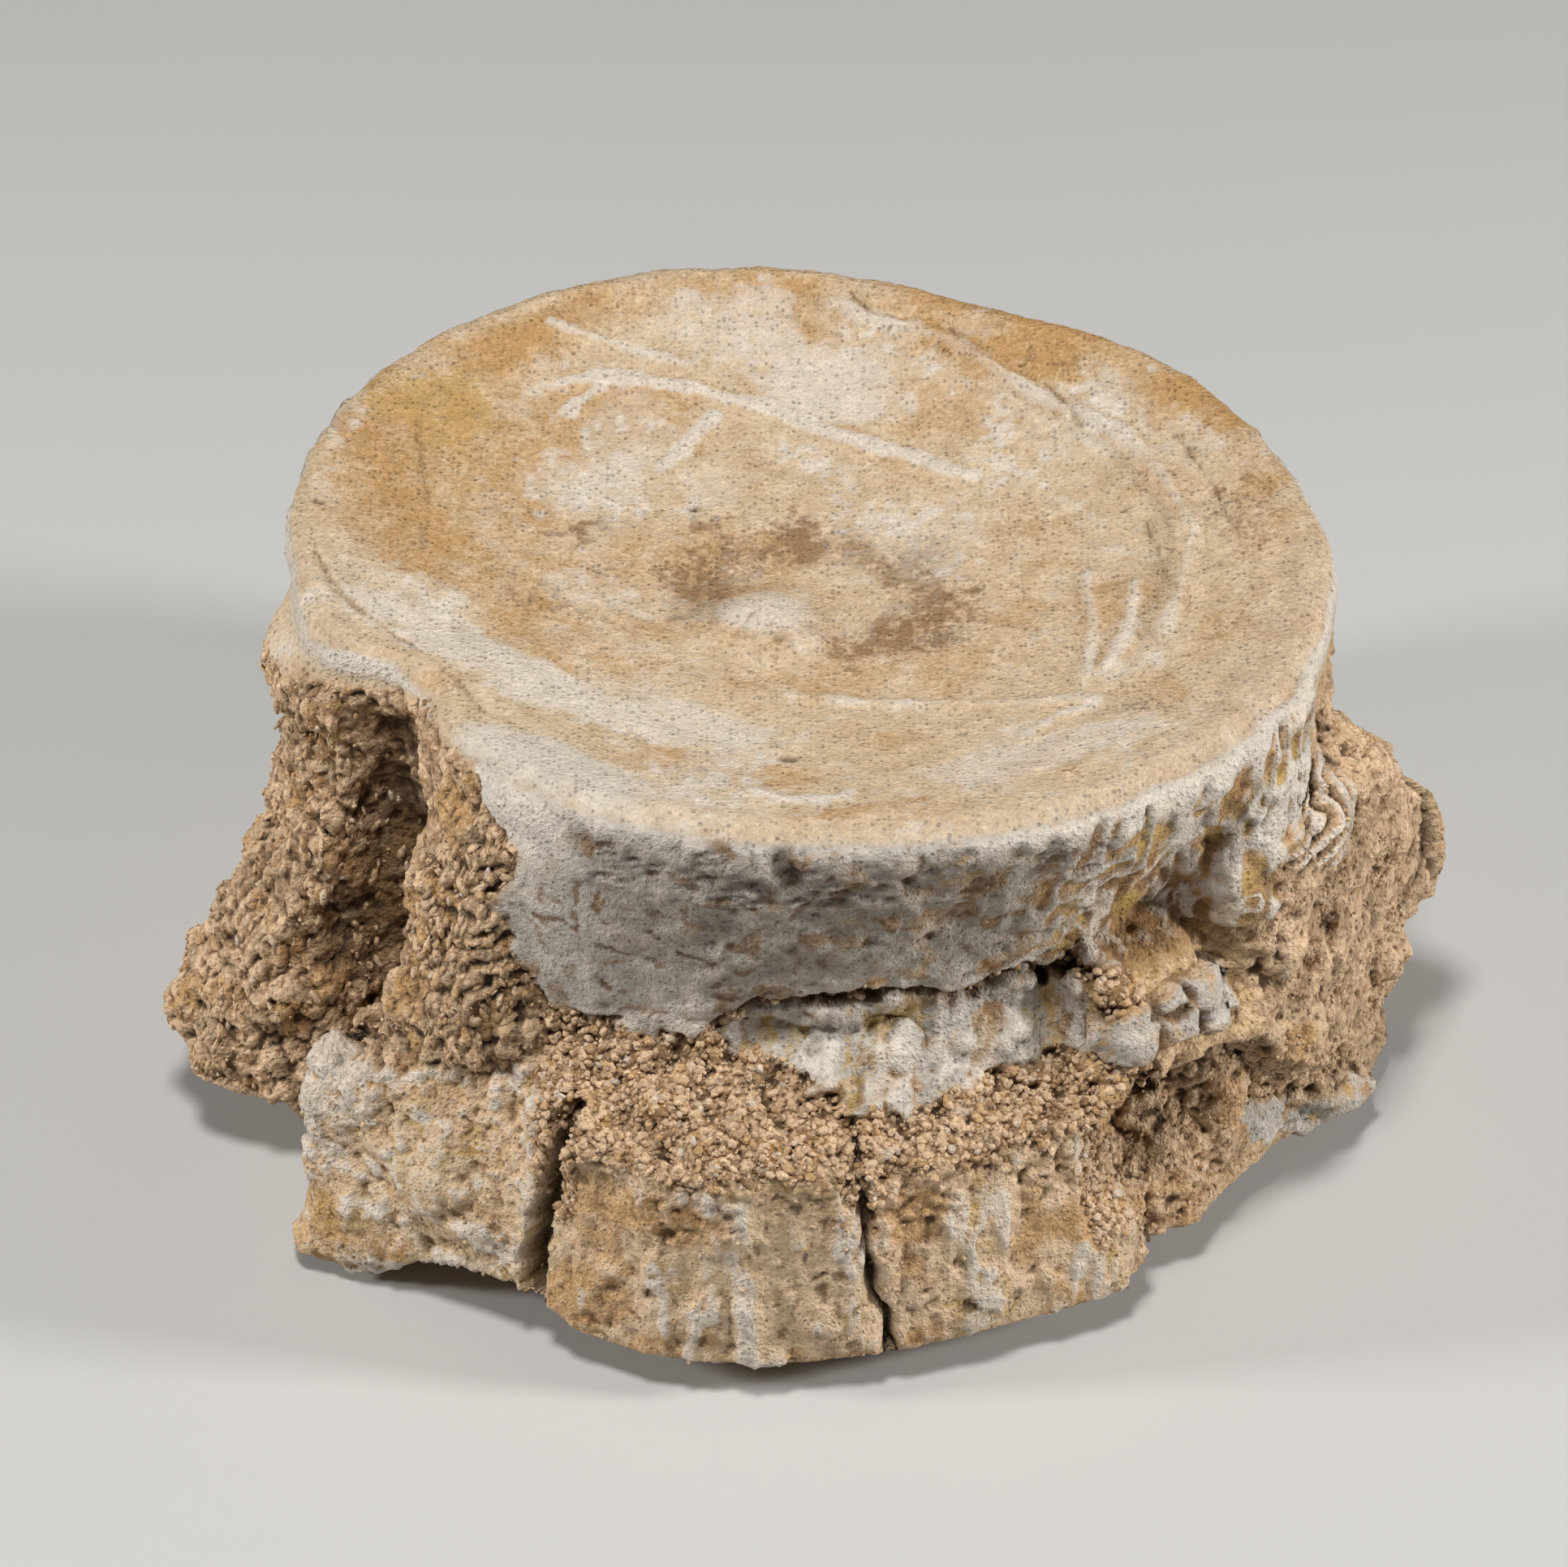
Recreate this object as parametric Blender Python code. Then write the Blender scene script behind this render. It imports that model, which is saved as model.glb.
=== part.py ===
"""Fossil vertebra, life size: a spool-shaped centrum that stands on its lower end.

The upper end is a shallow cup with a rounded lip. The neural arch and the side processes are broken off,
so only their rough stubs are left, and the lower end has a flared rim that has cracked into fragments.
The whole bone is lofted ring by ring, thinned to a light mesh, and parted with thin cuts into its named
parts. All sizes are in millimetres and all directions in degrees, anticlockwise from +X, seen from above.
The bone is shaped about the axis of its centrum, and moved at the end so that its origin is under the middle
of its box.
"""

import math

import bmesh
import bpy
import numpy as np
from mathutils import Matrix, Vector, noise

NAME = "fossil_vertebra"
MM = 0.001
GAP = 0.3

# The centrum
LENGTH = 65.0
UPPER_RIM = (
    (0, 51.6), (20, 50.6), (42, 49.8), (67, 46.8), (95, 51.0), (135, 54.8), (165, 54.4), (183, 52.2),
    (198, 46.0), (216, 43.6), (232, 47.0), (250, 47.2), (282, 47.9), (305, 50.4), (325, 51.6), (345, 51.6),
)
WAIST_HEIGHT = 39.0
WAIST = (
    (0, 43.0), (60, 40.0), (120, 41.5), (180, 42.0), (215, 42.5), (234, 45.0), (250, 41.5), (272, 39.6),
    (310, 41.5),
)
LOWER_RIM = (
    (0, 55.0), (25, 52.0), (60, 53.0), (100, 52.5), (140, 53.5), (165, 54.0), (188, 54.6), (205, 52.0),
    (236, 53.6), (252, 54.6), (266, 53.6), (280, 52.0), (298, 51.8), (309, 52.6), (322, 50.2), (333, 50.4),
    (345, 55.4),
)
LOWER_BAND_TOP = 28.0
LOWER_EDGE = 5.0
LIP_ROUND = 2.6

# Smooth crust of the front wall: its middle direction and half width, how far it stands out, its lower edge
# and the waves of that edge
CRUST_WALL = (268.0, 36.0)
CRUST_STEP = 1.2
CRUST_EDGE = 37.0
CRUST_TEETH = ((7.0, 2.2), (17.0, 1.4))

# The broken features. Each has its middle direction and half width, and its radius at some heights, from the
# top down. A break is a flat face: the direction it faces and its distance from the axis.
CANAL = (208.0, 8.0)
CANAL_FLOOR = ((60, 45.0), (52, 43.5), (40, 40.5), (28, 38.0), (16, 40.0), (9, 46.0), (5, 51.0))
LEFT_PEDICLE = (190.5, 10.5)
LEFT_RIDGE = (
    (61, 51.0), (58, 54.0), (55.5, 54.0), (52, 51.4), (40, 54.2), (27, 60.0), (15, 65.4), (10, 64.0),
    (7.5, 56.0),
)
MIDDLE_PEDICLE = (224.0, 9.5)
MIDDLE_RIDGE = ((60, 46.0), (50, 48.5), (40, 51.0), (32, 52.5), (24, 53.0), (14, 50.0))
RIGHT_PROCESS = (344.0, 22.0)
RIGHT_STUB = ((51, 51.0), (46, 57.6), (39, 63.4), (31, 64.6), (24, 61.0), (9, 59.4), (3, 56.0))
RIGHT_BREAK = (328.0, 54.0)
RIGHT_FALL = 7.0
RIGHT_FOOT = 22.0
RIGHT_FOOT_SLOPE = 1.15
BACK_PROCESS = (70.0, 22.0)
BACK_STUB = ((54, 45.0), (44, 55.0), (34, 60.0), (24, 58.0), (9, 56.5), (4, 54.0))
BACK_BREAK = (66.0, 55.5)

# The block at the foot of the right process, and the recess under it
BLOCK = (312.0, 8.5)
BLOCK_RADIUS = 51.5
BLOCK_LEAN = 2.5
RECESS = (313.0, 10.0)
RECESS_DEPTH = 5.0

# The slab at the front left of the lower rim, and the break at the right end of the band
SLAB = (224.9, 13.7)
SLAB_FACE = (243.0, 52.4)
SLAB_LEAN = 5.0
SLAB_TOP = 27.5
SLAB_RISE = 5.0
BAND_END = 306.0
BAND_BREAK_DEPTH = 4.4

# How rough the surface is: lumps and swells by size and height, and what is added where the bone is broken
LUMP_SIZE = 6.5
LUMP_HEIGHT = 0.35
BROKEN_LUMP_HEIGHT = 1.5
SWELL_SIZE = 17.0
SWELL_HEIGHT = 0.7

# The cup of the upper end and its low middle boss
CUP_DEPTH = 7.0
BOSS_HEIGHT = 1.4
BOSS_RADIUS = 9.0
BOSS_PLACE = (-4.0, -9.0)

# The lower end: a low bulge that is worn flat where it stands
BULGE_DROP = 3.3
BULGE_POWER = 1.6

# The cuts. Two level cuts part the upper and the lower end from the waist. Each other piece is what lies
# outside an upright plane across its direction: (direction, distance of the plane from the axis, half width,
# bottom, top)
PLATE_BOTTOM = 54.0
WAIST_BOTTOM = 29.0
FLOOR = -1.0
POCKETS = {
    "left_pedicle_stub": (190.0, 43.0, 12.5, FLOOR, LENGTH),
    "rim_fragment_left": (226.0, 43.5, 12.6, FLOOR, 33.0),
    "middle_pedicle_stub": (225.0, 43.0, 11.0, 33.0, LENGTH),
    "rim_fragment_middle": (258.6, 43.0, 16.8, FLOOR, WAIST_BOTTOM),
    "rim_fragment_right": (292.8, 42.5, 14.4, FLOOR, WAIST_BOTTOM),
    "right_process_stub": (343.0, 44.0, 19.5, FLOOR, LENGTH),
    "back_process_stub": (68.0, 42.0, 19.0, FLOOR, LENGTH),
}
REACH = 90.0

# How finely the whole bone is lofted, and how many triangles the thinned mesh keeps
RING_POINTS = 240
CUP_RINGS = 22
FLANK_RINGS = 76
UNDERSIDE_RINGS = 12
KEPT_TRIANGLES = 7600
SHARP_ANGLE = 38.0

# Colour and roughness of each piece
FINISHES = {
    "upper_end_plate": ((0.44, 0.33, 0.20), 0.62),
    "centrum_waist": ((0.36, 0.28, 0.19), 0.78),
    "lower_end": ((0.38, 0.30, 0.21), 0.82),
    "left_pedicle_stub": ((0.26, 0.18, 0.10), 0.92),
    "middle_pedicle_stub": ((0.24, 0.17, 0.10), 0.92),
    "right_process_stub": ((0.34, 0.25, 0.15), 0.9),
    "back_process_stub": ((0.32, 0.24, 0.15), 0.9),
    "rim_fragment_left": ((0.42, 0.34, 0.24), 0.82),
    "rim_fragment_middle": ((0.40, 0.29, 0.17), 0.84),
    "rim_fragment_right": ((0.40, 0.33, 0.23), 0.82),
}


for leftover in list(bpy.data.objects):
    bpy.data.objects.remove(leftover)


def turn_between(angle, centre):
    """Signed turn from centre to angle, in degrees, from -180 to 180."""
    return (angle - centre + 180.0) % 360.0 - 180.0


def window(angle, centre, half_width, squareness=2.0):
    """1 at the centre direction, falling to 0 past half_width. A high squareness makes the sides steep."""
    share = np.abs(turn_between(angle, centre)) / half_width
    return np.exp(-(share ** (2.0 * squareness)))


def step(value, low, high):
    """Smooth rise from 0 at low to 1 at high."""
    share = np.clip((value - low) / (high - low), 0.0, 1.0)
    return share * share * (3.0 - 2.0 * share)


def outline(points, angle):
    """Radius at each angle of a smooth closed outline through (direction, radius) points."""
    directions = np.array([p[0] for p in points], float)
    radii = np.array([p[1] for p in points], float)
    directions = np.concatenate([directions[-2:] - 360.0, directions, directions[:2] + 360.0])
    radii = np.concatenate([radii[-2:], radii, radii[:2]])
    slopes = np.gradient(radii, directions)
    place = np.clip(np.searchsorted(directions, angle % 360.0, side="right") - 1, 1, len(radii) - 3)
    span = directions[place + 1] - directions[place]
    t = (angle % 360.0 - directions[place]) / span
    return (
        (2 * t**3 - 3 * t**2 + 1) * radii[place]
        + (t**3 - 2 * t**2 + t) * span * slopes[place]
        + (3 * t**2 - 2 * t**3) * radii[place + 1]
        + (t**3 - t**2) * span * slopes[place + 1]
    )


def profile(points, height):
    """Radius at each height of a stub, straight between (height, radius) points given from the top down."""
    heights = [p[0] for p in points][::-1]
    radii = [p[1] for p in points][::-1]
    return np.interp(height, heights, radii)


def facet(angle, facing, distance):
    """Radius at which a flat break that faces a direction cuts each angle."""
    return distance / np.maximum(np.cos(np.radians(turn_between(angle, facing))), 0.2)


def spool_radius(angle, height):
    """Plain centrum: from the upper rim in to the waist, then out over a ledge to the lower band."""
    rim = outline(UPPER_RIM, angle)
    waist = outline(WAIST, angle)
    lower = outline(LOWER_RIM, angle)
    down = np.clip((LENGTH - height) / (LENGTH - WAIST_HEIGHT), 0.0, 1.0)
    upper_part = rim + (waist - rim) * (1.3 * down - 0.3 * down**3) ** 1.1
    below = np.clip((WAIST_HEIGHT - height) / (WAIST_HEIGHT - LOWER_BAND_TOP), 0.0, 1.0)
    lower_part = waist + (lower - waist - 1.0) * below**1.8 + 1.0 * step(height, LOWER_BAND_TOP, LOWER_EDGE)
    return np.where(height > WAIST_HEIGHT, upper_part, lower_part)


def with_crust(radius, angle, height):
    """The smooth outer crust of the front wall ends in a ragged step above the waist."""
    edge = CRUST_EDGE
    for teeth, depth in CRUST_TEETH:
        edge = edge + depth * np.sin(np.radians(teeth * angle))
    on_wall = window(angle, *CRUST_WALL, 6.0)
    return radius + CRUST_STEP * on_wall * step(height, edge - 0.6, edge + 0.6) * step(height, LENGTH, 50.0)


def with_canal(radius, angle, height):
    """Floor of the neural canal: a hollow between the two broken pedicles."""
    floor = profile(CANAL_FLOOR, height)
    share = window(angle, *CANAL, 1.6) * step(height, 61.0, 50.0)
    return radius + (np.minimum(floor, radius) - radius) * share


def with_left_pedicle(radius, angle, height):
    """Broken pedicle on the left, a ridge that flares down and out to a blunt end."""
    ridge = profile(LEFT_RIDGE, height)
    return radius + np.maximum(ridge - radius, 0.0) * window(angle, *LEFT_PEDICLE, 2.0)


def with_middle_pedicle(radius, angle, height):
    """Broken pedicle at the front left, a lower and wider ridge."""
    ridge = profile(MIDDLE_RIDGE, height)
    return radius + np.maximum(ridge - radius, 0.0) * window(angle, *MIDDLE_PEDICLE, 2.4)


def with_right_process(radius, angle, height):
    """Stub of the right side process, cut short by a rough break that faces right and forwards."""
    middle, half_width = RIGHT_PROCESS
    fallen = RIGHT_FALL * step(turn_between(angle, middle), 3.0, 17.0)
    stub = np.minimum(profile(RIGHT_STUB, height + fallen), facet(angle, *RIGHT_BREAK))
    foot = np.clip(RIGHT_FOOT - RIGHT_FOOT_SLOPE * turn_between(angle, RIGHT_BREAK[0]), 2.0, 26.0)
    inside = window(angle, middle, half_width, 4.0) * step(height, foot - 1.5, foot + 2.5)
    return radius + np.maximum(stub - radius, 0.0) * inside


def with_back_process(radius, angle, height):
    """Stub of the other side process, at the back, broken off in the same way."""
    stub = np.minimum(profile(BACK_STUB, height), facet(angle, *BACK_BREAK))
    return radius + np.maximum(stub - radius, 0.0) * window(angle, *BACK_PROCESS, 3.0)


def with_block(radius, angle, height):
    """Block of smooth bone at the foot of the right process, over a recess."""
    block = BLOCK_RADIUS - BLOCK_LEAN * step(height, 33.0, 41.0)
    upright = step(height, 26.0, 28.5) * step(height, 43.0, 39.5)
    radius = radius + np.maximum(block - radius, 0.0) * upright * window(angle, *BLOCK, 4.0)
    recess = window(angle, *RECESS, 2.0) * step(height, 12.0, 18.0) * step(height, 28.5, 26.0)
    return radius - RECESS_DEPTH * recess


def with_left_fragment(radius, angle, height):
    """Slab of the lower rim at the front left, with a flat outer face and a jagged top."""
    top = SLAB_TOP + SLAB_RISE * step(angle, 214.0, 236.0) + 0.9 * np.sin(np.radians(31.0 * angle))
    lean = step(height, 16.0, 34.0) * step(angle, 208.0, 236.0)
    face = facet(angle, *SLAB_FACE) - SLAB_LEAN * lean
    inside = window(angle, *SLAB, 9.0) * step(height, top + 1.0, top - 1.0)
    return radius + (face - radius) * inside


def with_front_breaks(radius, angle, height):
    """The broken end of the lower band on the right."""
    past_end = step(turn_between(angle, BAND_END), 0.0, 4.0)
    before_process = step(turn_between(angle, BAND_END), 12.0, 6.0)
    return radius - BAND_BREAK_DEPTH * past_end * before_process * step(height, 30.0, 22.0)


def lower_edge_height(angle):
    """Height of the lower rim's edge: a little above the floor, and lowest at the left slab."""
    left_corner = 3.6 * window(angle, 215.0, 7.0)
    raised = 2.4 * window(angle, 234.0, 9.0) + 1.0 * window(angle, 315.0, 9.0)
    return LOWER_EDGE - left_corner + raised


def flank_radius(angle, height):
    """The whole flank of the bone, feature after feature."""
    radius = spool_radius(angle, height)
    radius = with_crust(radius, angle, height)
    radius = with_front_breaks(radius, angle, height)
    radius = with_middle_pedicle(radius, angle, height)
    radius = with_canal(radius, angle, height)
    radius = with_left_pedicle(radius, angle, height)
    radius = with_right_process(radius, angle, height)
    radius = with_back_process(radius, angle, height)
    radius = with_block(radius, angle, height)
    return with_left_fragment(radius, angle, height)


def broken_share(angle, height):
    """1 where the surface is broken, spongy bone and 0 where it is smooth crust."""
    left = step(turn_between(angle, 206.0), -32.0, -24.0) * step(turn_between(angle, 206.0), 28.0, 25.0)
    right = step(turn_between(angle, 342.0), -24.0, -18.0) * step(turn_between(angle, 342.0), 26.0, 18.0)
    back = window(angle, 66.0, 17.0, 4.0)
    ledge = step(height, 24.0, 28.0) * step(height, 38.0, 34.0)
    return np.clip((left + right + back) * step(height, 60.0, 52.0) + ledge, 0.0, 1.0)


def rim_height(angle):
    """The lip isn't quite level: it dips where the canal side is broken."""
    return LENGTH - 0.5 - 1.4 * window(angle, 212.0, 20.0) + 0.5 * np.cos(np.radians(angle - 130.0))


def cup_height(share, x, y, angle):
    """Height of the cup's floor at a share of the way from its middle out to the lip."""
    bowl = LENGTH - CUP_DEPTH * (1.0 - share**2.4)
    off_boss = math.hypot(x - BOSS_PLACE[0], y - BOSS_PLACE[1]) / BOSS_RADIUS
    return bowl + (rim_height(angle) - LENGTH) * share**6 + BOSS_HEIGHT * math.exp(-(off_boss**2))


def roughened(point, share):
    """A flank point moved in or out by lumps, more where the bone is broken."""
    lumps = noise.fractal(point / LUMP_SIZE, 1.0, 2.1, 3)
    swell = noise.noise(point / SWELL_SIZE)
    outwards = Vector((point.x, point.y, 0.0)).normalized()
    return point + outwards * (lumps * (LUMP_HEIGHT + BROKEN_LUMP_HEIGHT * share) + SWELL_HEIGHT * swell)


def flank_ring(share):
    """One ring of the flank, at a share of the way down from the lip to the lower edge."""
    ring = []
    for angle in np.linspace(0.0, 360.0, RING_POINTS, endpoint=False):
        top = rim_height(angle) - LIP_ROUND
        height = top + (lower_edge_height(angle) - top) * share
        radius = float(flank_radius(np.float64(angle), np.float64(height)))
        turn = math.radians(angle)
        point = Vector((radius * math.cos(turn), radius * math.sin(turn), height))
        calm = float(step(share, 0.0, 0.1) * step(share, 1.0, 0.97))
        ring.append(point.lerp(roughened(point, float(broken_share(np.float64(angle), height))), calm))
    return ring


def lip_ring(edge, share):
    """One ring of the rounded lip, from the flank's top ring over to the cup's edge."""
    ring = []
    for angle, point in zip(np.linspace(0.0, 360.0, RING_POINTS, endpoint=False), edge):
        inwards = Vector((-point.x, -point.y, 0.0)).normalized()
        turn = share * math.pi / 2
        offset = inwards * (LIP_ROUND * (1.0 - math.cos(turn))) + Vector((0, 0, LIP_ROUND * math.sin(turn)))
        ring.append(point + offset)
    return ring


def cup_ring(edge, share):
    """One ring of the cup, at a share of the lip ring's own radius."""
    ring = []
    for angle, point in zip(np.linspace(0.0, 360.0, RING_POINTS, endpoint=False), edge):
        x, y = point.x * share, point.y * share
        height = cup_height(share, x, y, float(angle)) + 0.25 * noise.noise(Vector((x, y, 0.0)) / 9.0)
        ring.append(Vector((x, y, height)))
    return ring


def underside_ring(edge, share):
    """One ring of the lower end, at a share of the lower edge's radius. Its middle is past the floor."""
    drop = BULGE_DROP * (1.0 - share)
    return [Vector((p.x * share, p.y * share, p.z * share**BULGE_POWER - drop)) for p in edge]


def closed_loft(rings):
    """Mesh through rings of equally many points, closed by a flat cap at both ends."""
    shape = bmesh.new()
    loops = [[shape.verts.new(point * MM) for point in ring] for ring in rings]
    for upper, lower in zip(loops, loops[1:]):
        for here in range(RING_POINTS):
            after = (here + 1) % RING_POINTS
            shape.faces.new((upper[here], lower[here], lower[after], upper[after]))
    shape.faces.new(loops[0])
    shape.faces.new(loops[-1][::-1])
    bmesh.ops.triangulate(shape, faces=shape.faces)
    bmesh.ops.recalc_face_normals(shape, faces=shape.faces)
    return shape


def whole_bone(into):
    """The bone in one closed loft, thinned to a light mesh and cut flat where it stands."""
    flank = [flank_ring(share) for share in np.linspace(0.0, 1.0, FLANK_RINGS)]
    lip = [lip_ring(flank[0], share) for share in (1.0, 0.67, 0.33)]
    cup = [cup_ring(lip[0], share) for share in np.linspace(0.04, 0.97, CUP_RINGS)]
    underside = [underside_ring(flank[-1], share) for share in np.linspace(0.93, 0.04, UNDERSIDE_RINGS)]
    bone = new_object("whole_bone", closed_loft([*cup, *lip, *flank, *underside]), into)
    thin = bone.modifiers.new("thin", "DECIMATE")
    thin.ratio = KEPT_TRIANGLES / len(bone.data.polygons)
    return bone


def box(name, low, high, direction, into):
    """Cutter between two corners given along the direction, across it and up."""
    shape = bmesh.new()
    size = Vector(high) - Vector(low)
    middle = (Vector(low) + Vector(high)) / 2
    place = Matrix.Rotation(math.radians(direction), 4, "Z") @ Matrix.Translation(middle * MM)
    bmesh.ops.create_cube(shape, size=1.0, matrix=place @ Matrix.Diagonal((*(size * MM), 1.0)))
    cutter = new_object(name, shape, into)
    cutter.hide_render = True
    cutter.display_type = "WIRE"
    return cutter


def pocket_box(name, direction, plane, half_width, bottom, top, clear, into):
    """Box outside a plane across a direction, smaller on every side by a clearance."""
    low = (plane + clear, clear - half_width, bottom + clear)
    high = (REACH, half_width - clear, top - clear)
    return box(name, low, high, direction, into)


def new_object(name, shape, into):
    mesh = bpy.data.meshes.new(name)
    shape.to_mesh(mesh)
    shape.free()
    made = bpy.data.objects.new(name, mesh)
    into.objects.link(made)
    return made


def cut(thing, operation, cutter):
    """Add a Boolean of the cutter to the thing's modifiers."""
    boolean = thing.modifiers.new(cutter.name, "BOOLEAN")
    boolean.operation = operation
    boolean.object = cutter
    return boolean


def worked(thing, name, into):
    """A new object of the thing with its modifiers worked in, less any loose scrap."""
    bpy.context.view_layer.update()
    evaluated = thing.evaluated_get(bpy.context.evaluated_depsgraph_get())
    shape = bmesh.new()
    shape.from_mesh(evaluated.to_mesh())
    scraps = sorted(bodies(shape), key=len)[:-1]
    bmesh.ops.delete(shape, geom=[vertex for scrap in scraps for vertex in scrap], context="VERTS")
    bmesh.ops.triangulate(shape, faces=shape.faces)
    return new_object(name, shape, into)


def bodies(shape):
    """The separate bodies of a mesh, each as a set of its vertices."""
    left = set(shape.verts)
    found = []
    while left:
        body = set()
        edge_of_body = {left.pop()}
        while edge_of_body:
            body |= edge_of_body
            edge_of_body = {edge.other_vert(v) for v in edge_of_body for edge in v.link_edges} - body
        left -= body
        found.append(body)
    return found


def finish(piece):
    """Smooth shading between near-level faces, and the piece's own material."""
    colour, roughness = FINISHES[piece.name]
    piece.data.shade_smooth()
    piece.data.set_sharp_from_angle(angle=math.radians(SHARP_ANGLE))
    material = bpy.data.materials.new(piece.name)
    material.use_nodes = True
    shader = material.node_tree.nodes["Principled BSDF"]
    shader.inputs["Base Color"].default_value = (*colour, 1.0)
    shader.inputs["Roughness"].default_value = roughness
    shader.inputs["Metallic"].default_value = 0.0
    piece.data.materials.append(material)


def slab(name, bottom, top, into):
    """Cutter that takes in all between two heights."""
    return box(name, (-REACH, -REACH, bottom), (REACH, REACH, top), 0.0, into)


def part_from(thing, name, inside, around, parts, cutters):
    """Cut the named piece out of the thing. The result is the piece, and the thing less its pocket."""
    keep = cut(thing, "INTERSECT", inside)
    piece = worked(thing, name, parts)
    thing.modifiers.remove(keep)
    cut(thing, "DIFFERENCE", around)
    rest = worked(thing, "rest", cutters)
    bpy.data.objects.remove(thing)
    return piece, rest


def parted(bone, parts, cutters):
    """The bone in its named pieces, each cut from what the one before left."""
    cut(bone, "DIFFERENCE", slab("ground_cutter", -REACH, 0.0, cutters))
    inside = slab("plate_piece_cutter", PLATE_BOTTOM, REACH, cutters)
    around = slab("plate_pocket_cutter", PLATE_BOTTOM - GAP, REACH, cutters)
    plate, rest = part_from(bone, "upper_end_plate", inside, around, parts, cutters)
    pieces = [plate]
    for name, pocket in POCKETS.items():
        inside = pocket_box(name + "_piece_cutter", *pocket, GAP, cutters)
        around = pocket_box(name + "_pocket_cutter", *pocket, 0.0, cutters)
        piece, rest = part_from(rest, name, inside, around, parts, cutters)
        pieces.append(piece)
    inside = slab("waist_piece_cutter", WAIST_BOTTOM, REACH, cutters)
    around = slab("waist_pocket_cutter", WAIST_BOTTOM - GAP, REACH, cutters)
    waist, rest = part_from(rest, "centrum_waist", inside, around, parts, cutters)
    pieces += [waist, worked(rest, "lower_end", parts)]
    bpy.data.objects.remove(rest)
    return pieces


def centre_over_origin(pieces):
    """Move the meshes so that the origin lies on the floor, under the middle of the bone's box."""
    corners = np.array([vertex.co for piece in pieces for vertex in piece.data.vertices])
    middle = (corners.min(axis=0) + corners.max(axis=0)) / 2
    shift = Matrix.Translation((-middle[0], -middle[1], -corners[:, 2].min()))
    for piece in pieces:
        piece.data.transform(shift)


def main():
    parts = bpy.data.collections.new(NAME)
    cutters = bpy.data.collections.new("cutters")
    for collection in (parts, cutters):
        bpy.context.scene.collection.children.link(collection)
    pieces = parted(whole_bone(cutters), parts, cutters)
    for piece in pieces:
        finish(piece)
    centre_over_origin(pieces)


main()
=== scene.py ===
"""Looks of a fossil vertebra that stands on its lower end.

The skin starts as copies of the frame's solids, closed over their thin cuts by a fine remesh, and is then
sculpted in code: the dished end face, the flaking crust of the wall, the flutes, the broken spongy bone,
the granular ledge and the cracked lower rim. The fields that move the surface are kept for the material.
Lengths in the sculpting are in millimetres, from the axis of the centrum, and directions are in degrees
anticlockwise from +X, seen from above.
"""
import math

import bpy
import numpy as np
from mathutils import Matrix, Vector
from mathutils.bvhtree import BVHTree


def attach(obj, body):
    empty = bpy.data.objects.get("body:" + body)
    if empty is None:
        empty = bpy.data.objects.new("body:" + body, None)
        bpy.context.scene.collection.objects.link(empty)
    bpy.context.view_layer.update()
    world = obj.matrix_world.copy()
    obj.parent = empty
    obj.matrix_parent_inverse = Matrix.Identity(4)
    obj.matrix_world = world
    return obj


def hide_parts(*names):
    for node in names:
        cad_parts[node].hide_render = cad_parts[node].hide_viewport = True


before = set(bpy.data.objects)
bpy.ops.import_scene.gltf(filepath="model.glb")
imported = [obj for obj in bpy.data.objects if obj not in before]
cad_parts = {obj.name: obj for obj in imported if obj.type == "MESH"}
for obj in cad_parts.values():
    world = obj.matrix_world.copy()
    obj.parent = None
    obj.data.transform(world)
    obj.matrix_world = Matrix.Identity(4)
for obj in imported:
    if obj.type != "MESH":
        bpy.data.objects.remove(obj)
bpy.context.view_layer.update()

MM = 0.001

# The bone in the frame, in millimetres
AXIS = (0.8, -2.4)
LENGTH = 65.0

# The small knob in the middle of the end face
BOSS = (-5.0, -5.0)

# How much closer than upright the lumps of the broken bone lie across and along
DRAWN_OUT = np.array([0.8, 1.0, 0.4])

# How fine the skin is
CELL = 0.4
SWELL = 0.22
SMOOTHING = 6

# The photograph's view
VIEW_ELEVATION = 38.0
VIEW_DISTANCE = 586.8
VIEW_TARGET = (-2.15, -41.4, 65.0)
LENS = 145.0

# Colours, linear
CREAM = (0.62, 0.45, 0.27)
PALE = (0.72, 0.585, 0.435)
OCHRE = (0.54, 0.31, 0.12)
BROWN = (0.27, 0.155, 0.07)
YELLOW = (0.60, 0.40, 0.13)
WHITE = (0.76, 0.68, 0.59)
GREY = (0.50, 0.455, 0.40)
PINK = (0.62, 0.48, 0.37)
SLATE = (0.20, 0.18, 0.16)
SAND = (0.37, 0.21, 0.10)
PALE_SAND = (0.78, 0.56, 0.36)
# Dark brown, laid as soil and as painted shade: in hollows, under the bone and over the middle of the wall
DIRT_AND_SHADE = (0.12, 0.072, 0.036)
SHADOW = (0.035, 0.022, 0.013)
FLOOR_PALE = (0.50, 0.50, 0.495)
FLOOR_DARK = (0.47, 0.47, 0.465)

# Lamps by name, place, size, power and tint, and the strength of the light from all round
LIGHTS = (
    ("key_above", (-0.06, -0.26, 0.75), 0.12, 4.4, (1.0, 0.98, 0.95)),
    ("side_left", (-0.78, -0.12, 0.34), 0.12, 4.6, (1.0, 0.98, 0.95)),
    ("side_right", (0.78, -0.14, 0.36), 0.12, 6.2, (1.0, 0.98, 0.95)),
)
WORLD = 0.03

# The point inside the bone that the walls of all its pieces run to, in metres, and how far straight in they
# start, in millimetres
HEART = (0.0, 0.0, 0.020)
WALL_DEPTH = 1.5

# The fields of the skin that the finishes read
# Some fields carry painted shade: the darkest in cracks, pits, gaps and hollows, a dark brown in hollows and
# under the bone, and a shade over the middle of the wall under the lip
FIELDS = (
    "crust", "spongy", "pale", "ochre", "brown", "yellow", "pink", "white",
    "smudge", "dirt", "grime", "deep",
)

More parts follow.
